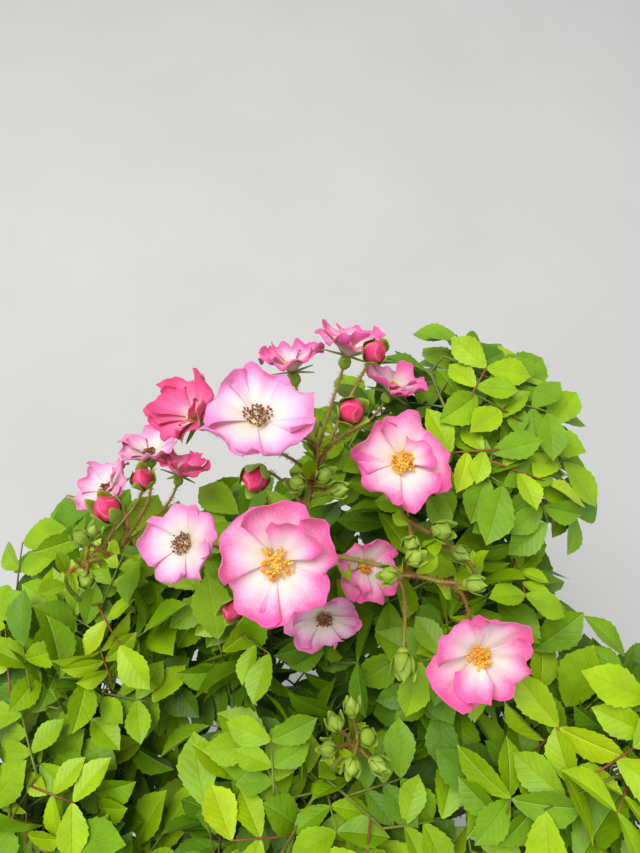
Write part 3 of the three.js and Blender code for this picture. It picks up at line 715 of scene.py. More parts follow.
# An axis starts on a mass's stem or another truss, at a share of it. A head is given by its place,
# its width, the side it faces and how far it leans to it, its cup, which a bud has none of, and its
# look. Green buds are added by chance, by their count and their seed.
TRUSSES = {
    "centre_truss": {"on": ("far_middle", 1.0), "end": (18, 206, 542), "green": (2, 4), "heads": [
        (-15, 181, 536, 10, 250, 40, None, "dark"),
        (-42, 214, 540, 49, 200, 24, 0.35, "old"),
        (32, 181, 500, 43, 275, 52, 0.4, "old"),
        (54, 205, 524, 38, 300, 30, 0.6, "young"),
        (10, 197, 584, 59, 265, 22, 0.22, "young"),
    ]},
    "top_truss": {"on": ("centre_truss", 0.66), "end": (29, 258, 566), "green": (4, 9), "heads": [
        (-2, 243, 572, 12, 255, 50, None, "hot"),
        (45, 275, 578, 12, 320, 22, None, "hot"),
        (58, 303, 590, 11, 300, 12, None, "hot"),
        (-36, 276, 566, 44, 160, 30, 0.75, "hot"),
        (74, 316, 516, 42, 60, 40, 0.55, "young"),
        (14, 318, 540, 44, 100, 50, 0.6, "young"),
        (46, 326, 546, 44, 70, 45, 0.65, "young"),
        (0, 262, 598, 56, 80, 12, 0.35, "old"),
    ]},
    "left_truss": {"on": ("far_left", 1.0), "end": (-88, 210, 526), "green": (3, 2), "heads": [
        (-72, 252, 530, 11, 60, 15, None, "hot"),
        (-84, 230, 544, 13, 120, 20, None, "hot"),
        (-60, 268, 492, 36, 70, 55, 0.6, "hot"),
        (-80, 280, 494, 40, 95, 35, 0.55, "pale"),
        (-102, 256, 496, 42, 140, 30, 0.5, "pale"),
    ]},
    "right_truss": {"on": ("centre_truss", 0.3), "end": (98, 190, 552), "green": (3, 6), "heads": [
        (74, 156, 526, 11, 265, 65, None, "green"),
        (110, 158, 540, 53, 275, 30, 0.32, "young"),
    ]},
    "far_right_truss": {"on": ("far_right", 1.0), "end": (80, 226, 538), "green": (2, 7), "heads": [
        (92, 218, 556, 9, 320, 30, None, "green"),
        (73, 252, 564, 51, 280, 16, 0.3, "young"),
    ]},
    "young_truss": {"on": ("middle", 1.0), "end": (52, 118, 492), "green": (6, 1), "heads": [
        (55, 118, 510, 8, 0, 0, None, "green"),
    ]},
    "near_left_truss": {"on": ("near_left", 1.0), "end": (-136, -90, 500), "green": (2, 5), "heads": [
        (-152, -118, 520, 11, 230, 35, None, "hot"),
        (-166, -96, 522, 46, 190, 40, 0.4, "young"),
        (-120, -124, 524, 52, 285, 35, 0.3, "old"),
        (-132, -64, 536, 50, 100, 15, 0.3, "young"),
    ]},
    "near_right_truss": {"on": ("near_right", 1.0), "end": (146, -62, 518), "green": (2, 8), "heads": [
        (146, -92, 532, 10, 265, 35, None, "hot"),
        (176, -88, 532, 50, 320, 40, 0.35, "pale"),
        (128, -56, 548, 54, 200, 12, 0.25, "young"),
    ]},
    "near_tip_truss": {"on": ("near_tip", 1.0), "end": (8, -196, 484), "green": (2, 3), "heads": [
        (30, -206, 504, 11, 310, 30, None, "hot"),
        (-12, -222, 506, 48, 250, 38, 0.35, "young"),
    ]},
}
GREEN_WIDE, GREEN_LENGTH, GREEN_TRIES = 7.5, 20, 12
# Room that a green bud needs round its stalk and itself, by the share of the way to it.
GREEN_ROOM = {0.5: 4, 0.7: 4, 1: 7, 1.25: 7}
# The gap that leaves keep from limbs, and how far apart the points on a limb stand for that.
CLEAR, OBSTACLE_STEP = 1.6, 5
near_points, near_radii, near_owners = [], [], []


def keep_clear(curve, radii, owner):
    count = math.ceil(curve.length / OBSTACLE_STEP)
    share = np.arange(count + 1) / count
    near_points.extend(curve.at(share))
    near_radii.extend(radii[0] + (radii[1] - radii[0]) * share)
    near_owners.extend([owner] * (count + 1))


def pointing(turn, lean):
    across = math.sin(lean)
    return np.array([math.cos(turn) * across, math.sin(turn) * across, math.cos(lean)])


def leaning(azimuth, lean):
    return pointing(math.radians(azimuth), math.radians(lean))


def add_head(name, at, wide, facing, along, cup, look):
    """Plans a bloom or a bud on its stalk, which leaves the truss's axis at a share of its length."""
    axis = TRUSSES[name]["axis"]
    start, end = axis.at(along), at - facing * wide * 0.12
    reach = np.linalg.norm(end - start)
    stalk = Curve(start, start + axis.way(along) * reach * 0.35, end - facing * reach * 0.35, end)
    head = {"at": at, "facing": facing, "radius": wide / 2, "stalk": stalk, "cup": cup, "look": look}
    TRUSSES[name]["made"].append(head)
    keep_clear(stalk, STALK_RADII, name)
    near_points.append(at + facing * wide * 0.2)
    near_radii.append(wide / 2 + 1)
    near_owners.append(name)


for curve, radii, node in limbs.values():
    keep_clear(curve, radii, node)
for name, mass in MASSES.items():
    keep_clear(mass["stem"], STEM_RADII, name)
for name, truss in TRUSSES.items():
    carrier, share = truss["on"]
    sprouts = carrier in MASSES
    curve = MASSES[carrier]["stem"] if sprouts else TRUSSES[carrier]["axis"]
    way, start, end = curve.way(share), curve.at(share), np.array(truss["end"], float)
    if sprouts:
        start = start + way * GAP * 1.2
    truss["axis"] = Curve(start, start + way * np.linalg.norm(end - start) * 0.45, end)
    truss["made"], truss["sunk"] = [], 1.5 if sprouts else 0.2
    keep_clear(truss["axis"], AXIS_RADII, name)
    total = len(truss["heads"])
    for i, (*at, wide, azimuth, lean, cup, look) in enumerate(truss["heads"]):
        along = FIRST_STALK + (LAST_STALK - FIRST_STALK) * (i + 1) / total
        add_head(name, np.array(at, float), wide, leaning(azimuth, lean), along, cup, look)
for name, truss in TRUSSES.items():
    count, seed = truss["green"]
    draw = seeded(seed)
    for _ in range(count):
        for _ in range(GREEN_TRIES):
            along = 0.62 + 0.36 * draw()
            facing = leaning(360 * draw(), 15 + 50 * draw())
            start = truss["axis"].at(along)
            place = start + facing * GREEN_LENGTH * (0.75 + 0.5 * draw())
            all_points, all_radii = np.array(near_points), np.array(near_radii)
            tests = [(start + (place - start) * share, room) for share, room in GREEN_ROOM.items()]
            if all((np.linalg.norm(all_points - t, axis=1) > all_radii + room).all() for t, room in tests):
                add_head(name, place, GREEN_WIDE, facing, along, None, "green")
                break
near_points, near_radii = np.array(near_points), np.array(near_radii)
near_owners = np.array(near_owners)

# The foliage
# Pinnate leaves of five or seven serrate leaflets, folded on the midrib and arched. Young ones at
# the tips are yellow-green on reddish stalks, and older ones further in are a deeper green.
LEAF = {"rachis": 58, "leaflet": 50, "slim": 0.64, "thick": 1.3, "droop": 0.25, "sunk": 0.2}
# Where along it a leaflet is widest, and how far it is lifted there.
WIDEST, LIFT = 0.46, 0.07
# Each pair's place along the leaf's stalk and its size, and those of the leaflet at the end.
PAIRS = [(0.4, 0.8), (0.76, 0.95)]
PAIRS_OF_SEVEN = [(0.28, 0.66), (0.53, 0.8), (0.78, 0.92)]
END_LEAFLET = (0.98, 1.08)
PAIR_ANGLE, LEAF_TRIES, RACHIS_RADIUS = math.radians(66), 16, 0.75
# Leaflets whose middles are nearer to each other than this count as crowded.
CROWDED = 40
TWIG_TRIES = 6
# Where leaves start on a stem, and their count: of the first leaves and of the finer ones.
STEM_LEAVES, FINER_LEAVES = (0.34, 3), (0.12, 7)
# Each kind of twig: its count, the first one's share of what bears it, the step to the next one,
# length, radii, the room it needs, and its leaves as above. Finer twigs stand on each stem in
# three sizes, given with what is added to the seed, and side twigs on the other twigs.
TWIGS = [3, 0.24, 0.27, 64, (1.15, 0.85), 1.15, (0.6, 2)]
SIDE_TWIGS = [2, 0.35, 0.3, 36, (0.8, 0.6), 0.7, (0.5, 3)]
FINER_TWIGS = {
    600: [7, 0.02, 0.1, 96, (0.95, 0.65), 0.8, (0.3, 5)],
    400: [6, 0.1, 0.15, 78, (0.95, 0.65), 0.8, (0.3, 5)],
    500: [6, 0.16, 0.14, 50, (0.95, 0.65), 0.8, (0.3, 5)],
}
# How many of a mass's first twigs bear side twigs.
MOST_PARENTS = 11
# A leaflet here is this much of its solid's length, and this wide for its length.
LIFE_SIZE, LIFE_SLIM = 0.97, 0.58
TEETH, NOTCH, TOOTH_TIP = 8, 0.95, 0.84
# The rings along a stem and a twig, the sides round it, and how deep its foot is sunk.
STEM_TUBE, TWIG_TUBE = (16, 8, 1.5), (9, 6, 0.5)
LEAF_STALK = {"rings": 5, "sides": 5, "radii": (0.8, 0.45), "arch": 1.5}
# Blades further apart than this, from the middle to a root or to a middle, can't touch.
FAR_ROOT, FAR_MIDDLE = 66, 46
# Dots this near to a blade count as on both sides of it.
BLADE_SKIN = 0.3
# How far a leaflet is bent up and rolled aside to get clear of others, in the order tried.
PUSHES = [(0, 0), (0.25, 0), (-0.25, 0), (0, 0.3), (0, -0.3), (0.3, 0.35), (-0.3, 0.35), (0.3, -0.35)]
PUSHES += [(-0.3, -0.35), (0.55, 0), (-0.55, 0), (0, 0.6), (0, -0.6)]
# How far finer leaves reach in among a neighbour's, how unevenly they stop short of the open side,
# how far round a mass's middle anything can touch it, and how far they may pass the first leaves.
BORDER, RAGGED, AROUND, PAST_TIPS = 14.0, 30.0, 170, 2
# A leaf is younger, so yellower, the higher and the further out it stands, and by chance.
CROWN_DEPTH, CROWN_RISE, CROWN_REACH = 90, 70, 120
YOUNG_BY_HEIGHT, YOUNG_BY_REACH, YOUNG_BY_CHANCE = 0.55, 0.35, 0.35


def sideways(way, angle):
    """A direction square to a way, turned round it by an angle."""
    v = unit(cross(way, ALONG_X))
    c, s = math.cos(angle), math.sin(angle)
    return v * c + cross(way, v) * s + way * (way @ v) * (1 - c)


def leaflets(base, way, face, size, draw, pairs):
    """Each leaflet's root, its three directions and its length."""
    side = cross(face, way)
    made = []
    turns = [(a, t, s) for a, s in pairs for t in (PAIR_ANGLE, -PAIR_ANGLE)]
    for along, turn, share in turns + [(END_LEAFLET[0], 0.0, END_LEAFLET[1])]:
        heading = way * math.cos(turn) + side * math.sin(turn)
        heading = unit(heading - UP * (LEAF["droop"] * along * math.cos(turn) + 0.12))
        normal = face + np.array([draw() - 0.5, draw() - 0.5, draw() - 0.5]) * 0.5
        normal = unit(normal - heading * (normal @ heading))
        root = base + way * LEAF["rachis"] * size * along - heading * LEAF["sunk"]
        made.append((root, heading, cross(normal, heading), normal, LEAF["leaflet"] * size * share))
    return made


def leaflet_is_clear(leaflet, space):
    root, heading, across, normal, length = leaflet
    half = length * LEAF["slim"] / 2
    lift = LIFT * length * LEAF["slim"]
    wide = root + heading * WIDEST * length + normal * lift
    corners = np.array([wide - across * half, root + heading * length, wide + across * half])
    if not in_own_space(corners, space["name"], CLEAR, space["border"], space["edge"]).all():
        return False
    if (corners < space["low"]).any() or (corners > space["high"]).any():
        return False
    off, room = space["points"] - root, space["radii"] + CLEAR
    along = off @ heading
    clear = (along < -room) | (along > length + room) | (np.abs(off @ across) > half + room)
    clear |= np.abs(off @ normal) > room + LEAF["thick"] + half * 0.15
    return clear.all()


def way_is_clear(points, radius, space):
    if not in_own_space(points, space["name"], radius + CLEAR, space["border"], space["edge"]).all():
        return False
    apart = np.linalg.norm(space["points"] - points[:, None], axis=2)
    return (apart > space["radii"] + radius + CLEAR + OBSTACLE_STEP / 2).all()


def bowed(v, u, length, half):
    """How far a blade stands over its flat middle plane: folded at the rib, and arched to its tip."""
    return 0.27 * np.abs(u) * half - 0.15 * length * (v - 0.35) ** 2


DOTS = np.array([
    (v, u * math.sin(math.pi * v) ** 0.7)
    for v in np.linspace(0.1, 0.94, 6)
    for u in (-0.9, -0.45, 0, 0.45, 0.9)
])
BLADES = {"middle": [], "root": [], "axes": [], "size": [], "dots": []}


def passes_through(dots, roots, axes, sizes):
    """Whether any set of dots lies on both sides of its blade, within the blade's outline."""
    local = (dots - roots[:, None]) @ axes.transpose(0, 2, 1)
    length, half = sizes[:, :1], sizes[:, 1:]
    v, u = local[..., 0] / length, local[..., 1] / half
    inside = (v > 0) & (v < 1) & (np.abs(u) < 4.4 * v * (1 - v) + 0.08) & (np.abs(u) < 1.08)
    above = local[..., 2] - bowed(v, u, length, half)
    over, under_it = inside & (above > -BLADE_SKIN), inside & (above < BLADE_SKIN)
    return (over.any(axis=1) & under_it.any(axis=1)).any()


def settled(leaflet, space):
    """The leaflet, pushed aside on its stalk until it passes through none that is there already."""
    root, heading, across, normal, length = leaflet
    size = np.array([length * LIFE_SIZE, length * LIFE_SIZE * LIFE_SLIM / 2])
    rows = np.arange(0)
    if BLADES["middle"]:
        rows = np.flatnonzero(((np.array(BLADES["middle"]) - root) ** 2).sum(axis=1) < FAR_ROOT**2)
    there = [np.array([BLADES[key][row] for row in rows]) for key in BLADES]
    v, u = DOTS[:, :1], DOTS[:, 1:]
    flat = np.concatenate([v * size[0], u * size[1], bowed(v, u, *size)], axis=1)
    for bend, roll in PUSHES:
        ahead = unit(heading + normal * bend)
        face = unit(normal - heading * bend + across * roll)
        axes = np.array([ahead, cross(face, ahead), face])
        pushed = (root, *axes, length)
        if (bend or roll) and not leaflet_is_clear(pushed, space):
            continue
        dots, middle = root + flat @ axes, root + ahead * size[0] / 2
        near = ((there[0] - middle) ** 2).sum(axis=1) < FAR_MIDDLE**2 if len(rows) else []
        if np.any(near):
            _, roots, frames, sizes, marks = (one[near] for one in there)
            if passes_through(dots[None], roots, frames, sizes):
                continue
            if passes_through(marks, root[None], axes[None], size[None]):
                continue
        for key, value in zip(BLADES, (middle, root, axes, size, dots)):
            BLADES[key].append(value)
        return pushed
    return None


def best_leaf(curve, share, azimuth, seed, space, pairs, least, largest):
    """The try that keeps most leaflets clear, and furthest from those that are there already."""
    draw, taken = seeded(seed), space["taken"]
    tangent, base = curve.way(share), curve.at(share)
    best, score_of_best = None, least
    for t in range(LEAF_TRIES):
        turn = azimuth + (0 if t == 0 else 2 * math.pi * draw())
        way = unit(sideways(tangent, turn) + tangent * (0.25 + 0.6 * draw()))
        sky = np.array([draw() - 0.5, draw() - 0.5, 0]) * 0.7 + UP + space["outward"] * 0.3
        face = unit(sky - way * (sky @ way))
        size = (largest - 0.025 * t) * (0.85 + 0.15 * draw())
        every = leaflets(base, way, face, size, draw, pairs)
        kept = [one for one in every if leaflet_is_clear(one, space)]
        end = base + way * LEAF["rachis"] * size
        line = base + (end - base) * np.linspace(0, 1, 6)[:, None]
        if len(kept) < 3 or not way_is_clear(line, RACHIS_RADIUS, space):
            continue
        rise = LIFT * LEAF["slim"]
        middles = [root + (head * WIDEST + up * rise) * long for root, head, _, up, long in kept]
        score = float(len(middles))
        if len(taken):
            apart = np.sqrt(((taken[:, None] - np.array(middles)) ** 2).sum(axis=2)).min(axis=0)
            score = np.minimum(apart, CROWDED).sum() / CROWDED
        if score > score_of_best:
            best, score_of_best = (kept, middles, base, way), score
    if not best:
        return None
    space["taken"] = np.concatenate([taken, best[1]])
    kept = [one for one in (settled(leaflet, space) for leaflet in best[0]) if one]
    return (kept, *best[1:]) if len(kept) > 1 else None


def shoot(space, curve, radii, parent=None, share=0.0):
    """A stem or a twig, which reaches no further than its last leaf or its own last twig."""
    made = {"curve": curve, "radii": radii, "parent": parent, "share": share, "reach": 0.0}
    space["shoots"].append(made)
    return made


def branch(space, plans, parent, twigs, seed, first_leaf):
    """Twigs round a shoot, each bent towards the sky, whose leaves are planned: their shoot, their
    start on it, their count and the first one's seed."""
    count, first_share, step, length, radii, room, leaves = twigs
    draw, before = seeded(seed), len(plans)
    first = draw() * 2 * math.pi
    for i in range(count):
        share = first_share + step * i
        tangent, start = parent["curve"].way(share), parent["curve"].at(share)
        for t in range(TWIG_TRIES):
            azimuth = first + i * GOLDEN_ANGLE + (draw() - 0.5) * 0.3 * t
            long = length * (0.85 + 0.3 * draw()) * (1 - 0.09 * t)
            out = sideways(tangent, azimuth)
            bend = start + out * long * 0.5 + tangent * 8
            curve = Curve(start, bend, bend + out * long * 0.35 + UP * long * 0.3)
            if way_is_clear(curve.at(np.arange(9) / 8), room, space):
                seed_of_leaf = first_leaf + 20 * (len(plans) - before + 1)
                plans.append((shoot(space, curve, radii, parent, share), *leaves, seed_of_leaf))
                break


def leaflet_shape():
    """A serrate leaflet of unit length and half width: points, faces and uv."""

    def wide(v):
        return math.sin(math.pi * v**1.2) ** (0.62 + 0.55 * v) if 0 < v < 1 else 0.0

    edge, rib = [], []
    for k in range(TEETH + 1):
        v = k / TEETH
        rib.append((v, 0.0))
        edge.append((v, wide(v) * NOTCH))
        if k < TEETH:
            tooth = (k + TOOTH_TIP) / TEETH
            edge.append((tooth, wide(tooth) * 1.03 + 0.01))
    flat, faces = [], []
    for sign in (1, -1):
        start = len(flat)
        flat += [(v, u * sign) for v, u in rib + edge]
        for k in range(TEETH):
            m, e = start + k, start + TEETH + 1 + 2 * k
            three = [(m, e, e + 1), (m, e + 1, m + 1), (m + 1, e + 1, e + 2)]
            faces += [f if sign < 0 else f[::-1] for f in three]
    flat = np.array(flat)
    return flat, np.array(faces), np.stack([flat[:, 1] * 0.5 + 0.5, flat[:, 0]], 1)


SHAPE, SHAPE_FACES, SHAPE_UV = leaflet_shape()


def add_leaflet(batch, leaflet, slot, draw):
    root, heading, across, normal, length = leaflet
    length = length * LIFE_SIZE
    half = length * LIFE_SLIM / 2
    v, u = SHAPE[:, 0], SHAPE[:, 1]
    fold, arch, wave = 0.12 + 0.3 * draw(), 0.08 + 0.14 * draw(), 0.02 + 0.05 * draw()
    phase = 6.3 * draw()
    lift = fold * np.abs(u) * half - arch * length * (v - 0.35) ** 2
    lift = lift + wave * half * np.abs(u) * np.sin(9 * v + phase + 2 * np.sign(u))
    points = root + heading * (v * length)[:, None] + across * (u * half)[:, None] + normal * lift[:, None]
    batch.add(points, [SHAPE_FACES], SHAPE_UV, slot)


def leaf_green(name, base, vein, gloss):
    def recipe(s):
        u, v = abs(s.uv("X") - 0.5) * 2, s.uv("Y")
        line = (v * 7 - u * 2.3 + (s.noise(70, 2) - 0.5) * 1.3).fraction()
        vein_groove = (1 - abs(line - 0.5) * 2).step(0.8, 1.0) * (1 - u.step(0.6, 0.95))
        rib = 1 - u.step(0.012, 0.055)
        mottle = s.noise(60, 4).step(0.3, 0.75)
        # deep is the mottle's own darker green; dark is painted shade laid along the side-vein grooves.
        deep, dark = (tuple(c * share for c in colour(*base)[:3]) + (1.0,) for share in (0.75, 0.6))
        skin = (vein_groove * 0.25).mix(mottle.mix(deep, colour(*base)), dark)
        quilt = abs(line - 0.5) * (0.4 - u * 0.35) + s.noise(150, 3) * 1.2
        relief = (quilt - vein_groove * 0.15 - rib).bump(0.45, 0.0009)
        return (rib * 0.4).mix(skin, colour(*vein)), gloss + mottle * 0.14, relief

    return material(name, recipe, specular_ior_level=0.3)


leaf_finishes = [
    leaf_green("leaf_young", (182, 210, 16), (206, 224, 80), 0.38),
    leaf_green("leaf_bright", (164, 200, 8), (188, 212, 66), 0.38),
    leaf_green("leaf_fresh", (143, 184, 6), (172, 200, 62), 0.4),
    leaf_green("leaf_middle", (122, 165, 6), (152, 186, 60), 0.42),
    leaf_green("leaf_deep", (98, 141, 6), (130, 166, 54), 0.44),
    leaf_green("leaf_dark", (74, 111, 8), (106, 140, 46), 0.46),
]
SOFT_BARK = ((45, 4), (0.45, 0.2), (0.35, 0.7), (600, 2, 0.2, 0.0004))
twig_finishes = [
    toned("twig_green", (120, 140, 40), (104, 88, 36), *SOFT_BARK),
    toned("twig_red", (152, 96, 48), (120, 60, 34), *SOFT_BARK),
]


def add_limb(batch, curve, radii, rings, sides, sunk, slot=0, reach=1.0):
    """A twig or stalk along a curve, with its foot sunk into what carries it."""
    points = curve.at(np.linspace(0, reach, rings))
    points = np.concatenate([[points[0] - curve.way(0.0) * sunk], points])
    batch.add(*tube(points, [radii[0], *np.linspace(*radii, rings)], sides), slot=slot)


def leaf_out(space, made, start, count, first, finer):
    """Leaves along a shoot, up to its end, where their score is over the least."""
    end, least, largest = (0.98, 1.35, 1.08) if finer else (0.99, 2.0, 1.12)
    for i in range(count):
        share = start + (end - start) * i / (count - 1)
        pairs = PAIRS_OF_SEVEN if finer and (first + i) % 3 == 0 else PAIRS
        turn = i * GOLDEN_ANGLE
        leaf = best_leaf(made["curve"], share, turn, first + i, space, pairs, least, largest)
        if leaf:
            space["leaves"].append(leaf)
            made["reach"] = max(made["reach"], share)


def grow_leaf(blades, wood, mass, seed, leaf):
    """A leaf on its stalk, whose green goes by its height and place in the crown."""
    kept, middles, base, way = leaf
    draw = seeded(seed)
    low, high = mass["centre"][2] - CROWN_DEPTH, mass["centre"][2] + CROWN_RISE
    height = (np.mean([m[2] for m in middles]) - low) / (high - low)
    outer = np.linalg.norm(np.mean(middles, axis=0) - mass["centre"]) / CROWN_REACH
    age = 1 - (YOUNG_BY_HEIGHT * height + YOUNG_BY_REACH * outer + YOUNG_BY_CHANCE * (draw() - 0.3))
    tint = int(np.clip(age * 6.5 + 0.7, 0, 5))
    end = base + way * (0.5 + max((leaflet[0] - base) @ way for leaflet in kept))
    rachis = Curve(base - way * 0.5, (base + end) / 2 + UP * LEAF_STALK["arch"], end)
    rings = LEAF_STALK["rings"]
    line, radii = rachis.at(np.linspace(0, 1, rings)), np.linspace(*LEAF_STALK["radii"], rings)
    wood.add(*tube(line, radii, LEAF_STALK["sides"]), slot=int(tint < 2))
    for leaflet in kept:
        shade = int(np.clip(tint + (draw() > 0.8) - (draw() > 0.85), 0, 5))
        add_leaflet(blades, leaflet, shade, draw)


for name, mass in MASSES.items():
    near = near_owners != name
    near &= np.linalg.norm(near_points - mass["centre"], axis=1) < AROUND
    space = {"name": name, "points": near_points[near], "radii": near_radii[near]}
    space.update(border=0.0, edge=0.0, low=-999.0, high=999.0, outward=mass["outward"])
    space.update(taken=np.empty((0, 3)), leaves=[], shoots=[], plans=[])
    mass["space"], seed = space, mass["seed"] * 100
    stem = shoot(space, mass["stem"], STEM_RADII)
    space["plans"].append((stem, *STEM_LEAVES, seed))
    branch(space, space["plans"], stem, TWIGS, mass["seed"] + 1, seed)
    for plan in space["plans"]:
        leaf_out(space, *plan, False)
# The same rule is carried on to finer twigs and to the leaves between. They reach in among the
# neighbours' leaves, and stop at uneven depths under the crown's outside.
everything = np.concatenate([mass["space"]["taken"] for mass in MASSES.values()])
tips = np.concatenate(BLADES["dots"])
for name, mass in MASSES.items():
    space, seed = mass["space"], mass["seed"] * 100
    near = np.linalg.norm(everything - mass["centre"], axis=1) < AROUND
    space["taken"], space["border"] = everything[near], BORDER
    space["low"], space["high"] = tips.min(axis=0) - PAST_TIPS, tips.max(axis=0) + PAST_TIPS
    finer = [(made, *FINER_LEAVES, first + 40) for made, _, _, first in space["plans"]]
    stem = space["shoots"][0]
    for offset, twigs in FINER_TWIGS.items():
        branch(space, finer, stem, twigs, seed + offset, seed + offset)
    for parent in space["shoots"][1 : 1 + MOST_PARENTS]:
        seed_by_length = int(parent["curve"].length * 977) % 9000
        branch(space, finer, parent, SIDE_TWIGS, seed_by_length, seed_by_length)
    for plan in finer:
        space["edge"] = RAGGED * seeded(plan[3])() ** 1.5
        leaf_out(space, *plan, True)
    everything = np.concatenate([everything, space["taken"][near.sum() :]])
    blades, wood = Batch(), Batch()
    for made in reversed(space["shoots"]):
        if made["parent"] and made["reach"]:
            made["parent"]["reach"] = max(made["parent"]["reach"], made["share"])
    stem["reach"] = 1.0
    for made in space["shoots"]:
        if made["reach"]:
            form, red = STEM_TUBE if made is stem else TWIG_TUBE, made is stem and name == "far_right"
            reach = min(1.0, made["reach"] + 0.01)
            add_limb(wood, made["curve"], made["radii"], *form, int(red), reach)
    for index, leaf in enumerate(space["leaves"]):
        grow_leaf(blades, wood, mass, seed + 7 * index, leaf)
    node = "foliage_" + name
    piece(node + "_leaves", blades, node, leaf_finishes)
    piece(node + "_twigs", wood, node, twig_finishes)

# The blossom
# Single blooms of five broad, notched and ruffled petals, white at the eye and pink at the edge,
# round a boss of golden stamens that brown with age. Hot pink and green buds stand among them on
# stalks with glandular bristles.
PETAL_ROWS, PETAL_COLUMNS, SEPAL_ROWS = 15, 17, 9
# A bloom's colours at the edge and in the middle, its count of small inner petals, and how far out
# its white eye reaches.
LOOKS = {
    "young": {"edge": (238, 84, 158), "middle": (244, 178, 206), "whorl": 1, "white": 0.46},
    "old": {"edge": (233, 120, 182), "middle": (240, 188, 214), "whorl": 0, "white": 0.47},
    "pale": {"edge": (233, 128, 180), "middle": (240, 192, 212), "whorl": 1, "white": 0.44},
    "hot": {"edge": (226, 50, 118), "middle": (236, 108, 162), "whorl": 2, "white": 0.25},
}
# Outlines turned about a head's axis, in units of its radius.
BUD_HIP = [(0, -1.15), (0.34, -1.1), (0.62, -0.8), (0.66, -0.4), (0.5, 0.0), (0, 0.1)]
BLOOM_HIP = [(0, -0.42), (0.08, -0.4), (0.17, -0.3), (0.18, -0.18), (0.13, -0.06), (0.08, 0.02), (0, 0.04)]
BOSS = [(0, 0.02), (0.12, 0.03), (0.13, 0.1), (0.09, 0.16), (0, 0.18)]
TURNED_SIDES, BUD_ROWS, BUD_SIDES = 14, 16, 30
PETAL_THICK, SEPAL_THICK = 0.28, 0.25
# The rings along an axis and a stalk, the sides round it, and how deep a stalk's foot is sunk.
AXIS_TUBE, STALK_TUBE = (18, 8), (12, 7, 0.3)
BLOOM_STAMENS, BUD_BRISTLES, BRISTLES_PER_MM = 110, 26, 6
# Bristles, their knobs, and stamens, in metres for the nodes. A thread is 1 mm before it is scaled.
SPIKE, KNOB = {"length": 0.0018, "radius": 0.00016}, {"radius": 0.0002}
THREAD_LENGTH = 0.001
STAMENS = {
    "young": {"thread": 0.00003, "anther": 0.00072},
    "old": {"thread": 0.00004, "anther": 0.0006},
}
FULL_TURN = 6.283


def petal_colour(look, back):
    facts = LOOKS[look]
    edge, middle, white = colour(*facts["edge"]), colour(*facts["middle"]), facts["white"]

    def recipe(s):
        u, v = abs(s.uv("X") - 0.5) * 2, s.uv("Y")
        along = s.node("ShaderNodeCombineXYZ", {"X": s.uv("X") * 9, "Y": v * 0.6})
        streak = s.noise(14, 3, where=along)
        ripe = v + u * u * 0.16 + (streak - 0.5) * 0.42 + (s.noise(55, 2) - 0.5) * 0.22
        inner = ripe.step(white - 0.12, white + 0.3).mix(colour(236, 218, 206), middle)
        outer = ripe.step(white + 0.1, 1.0).mix(inner, edge)
        skin = (1 - v.step(0.05, 0.25)).mix(outer, colour(232, 222, 176))
        if back:
            skin = (v.step(0.1, 0.8) * 0.8 + 0.2).mix(colour(244, 214, 220), edge)
        return skin, 0.5 + streak * 0.2, (streak * 1.2 + s.noise(300, 2) * 0.4).bump(0.25, 0.0006)

    name = "petal_" + look + ("_back" if back else "")
    return material(name, recipe, sheen_weight=0.2, subsurface_weight=0.08)


def wrapped_petals(name, pale, deep):
    def recipe(s):
        edge = (s.uv("X") * 3 + s.uv("Y") * 1.16).fraction().step(0.72, 1.0)
        streak = s.noise(120, 4).step(0.3, 0.75)
        base = (edge * 0.3).mix(streak.mix(colour(*deep), colour(*pale)), colour(252, 190, 208))
        return base, 0.45 + streak * 0.15, (edge + streak * 0.2).bump(0.4, 0.0008)

    return material(name, recipe)


petal_finishes = [petal_colour(look, back) for look in LOOKS for back in (False, True)]
petal_finishes += [
    wrapped_petals("bud_hot", (246, 92, 142), (226, 30, 92)),
    wrapped_petals("bud_dark", (214, 60, 104), (158, 22, 62)),
]
BUD_SLOTS = {"hot": 8, "dark": 9}
BAND = (0.35, 0.7)
stamen_finishes = [
    toned("filament_gold", (238, 196, 90), (250, 226, 150), (80, 3), (0.5, 0.15), BAND),
    toned("anther_gold", (230, 146, 12), (254, 208, 70), (200, 3), (0.6, 0.15), BAND),
    toned("filament_cream", (238, 226, 184), (250, 242, 216), (80, 3), (0.5, 0.15), BAND),
    toned("anther_brown", (98, 48, 26), (176, 116, 72), (700, 3), (0.7, 0.15), BAND),
]
gland_finish = toned("gland", (136, 76, 34), (190, 132, 66), (80, 3), (0.35, 0.15), BAND)
stalk_finishes = [
    toned("stalk", (136, 146, 46), (138, 104, 44), *SOFT_BARK),
    toned("sepal", (156, 182, 60), (126, 154, 44), *SOFT_BARK),
    gland_finish,
    *leaf_finishes[1:3],
]


def facing_frame(facing):
    side = unit(np.cross(facing, ALONG_X if abs(facing[0]) < 0.9 else UP))
    return np.stack([np.cross(side, facing), side, facing])


def placed(points, head):
    return head["at"] + points @ facing_frame(head["facing"])


def round_axis(x, y, z, angle):
    c, s = math.cos(angle), math.sin(angle)
    return np.stack([x * c - y * s, x * s + y * c, z], -1)


def walked(slope, step):
    """How far out and how high a line gets that leaves at these slopes by these steps."""
    starts = np.zeros_like(slope[:1])
    out, up = (np.concatenate([starts, np.cumsum(f(slope[1:]) * step, axis=0)]) for f in (np.cos, np.sin))
    return out, up


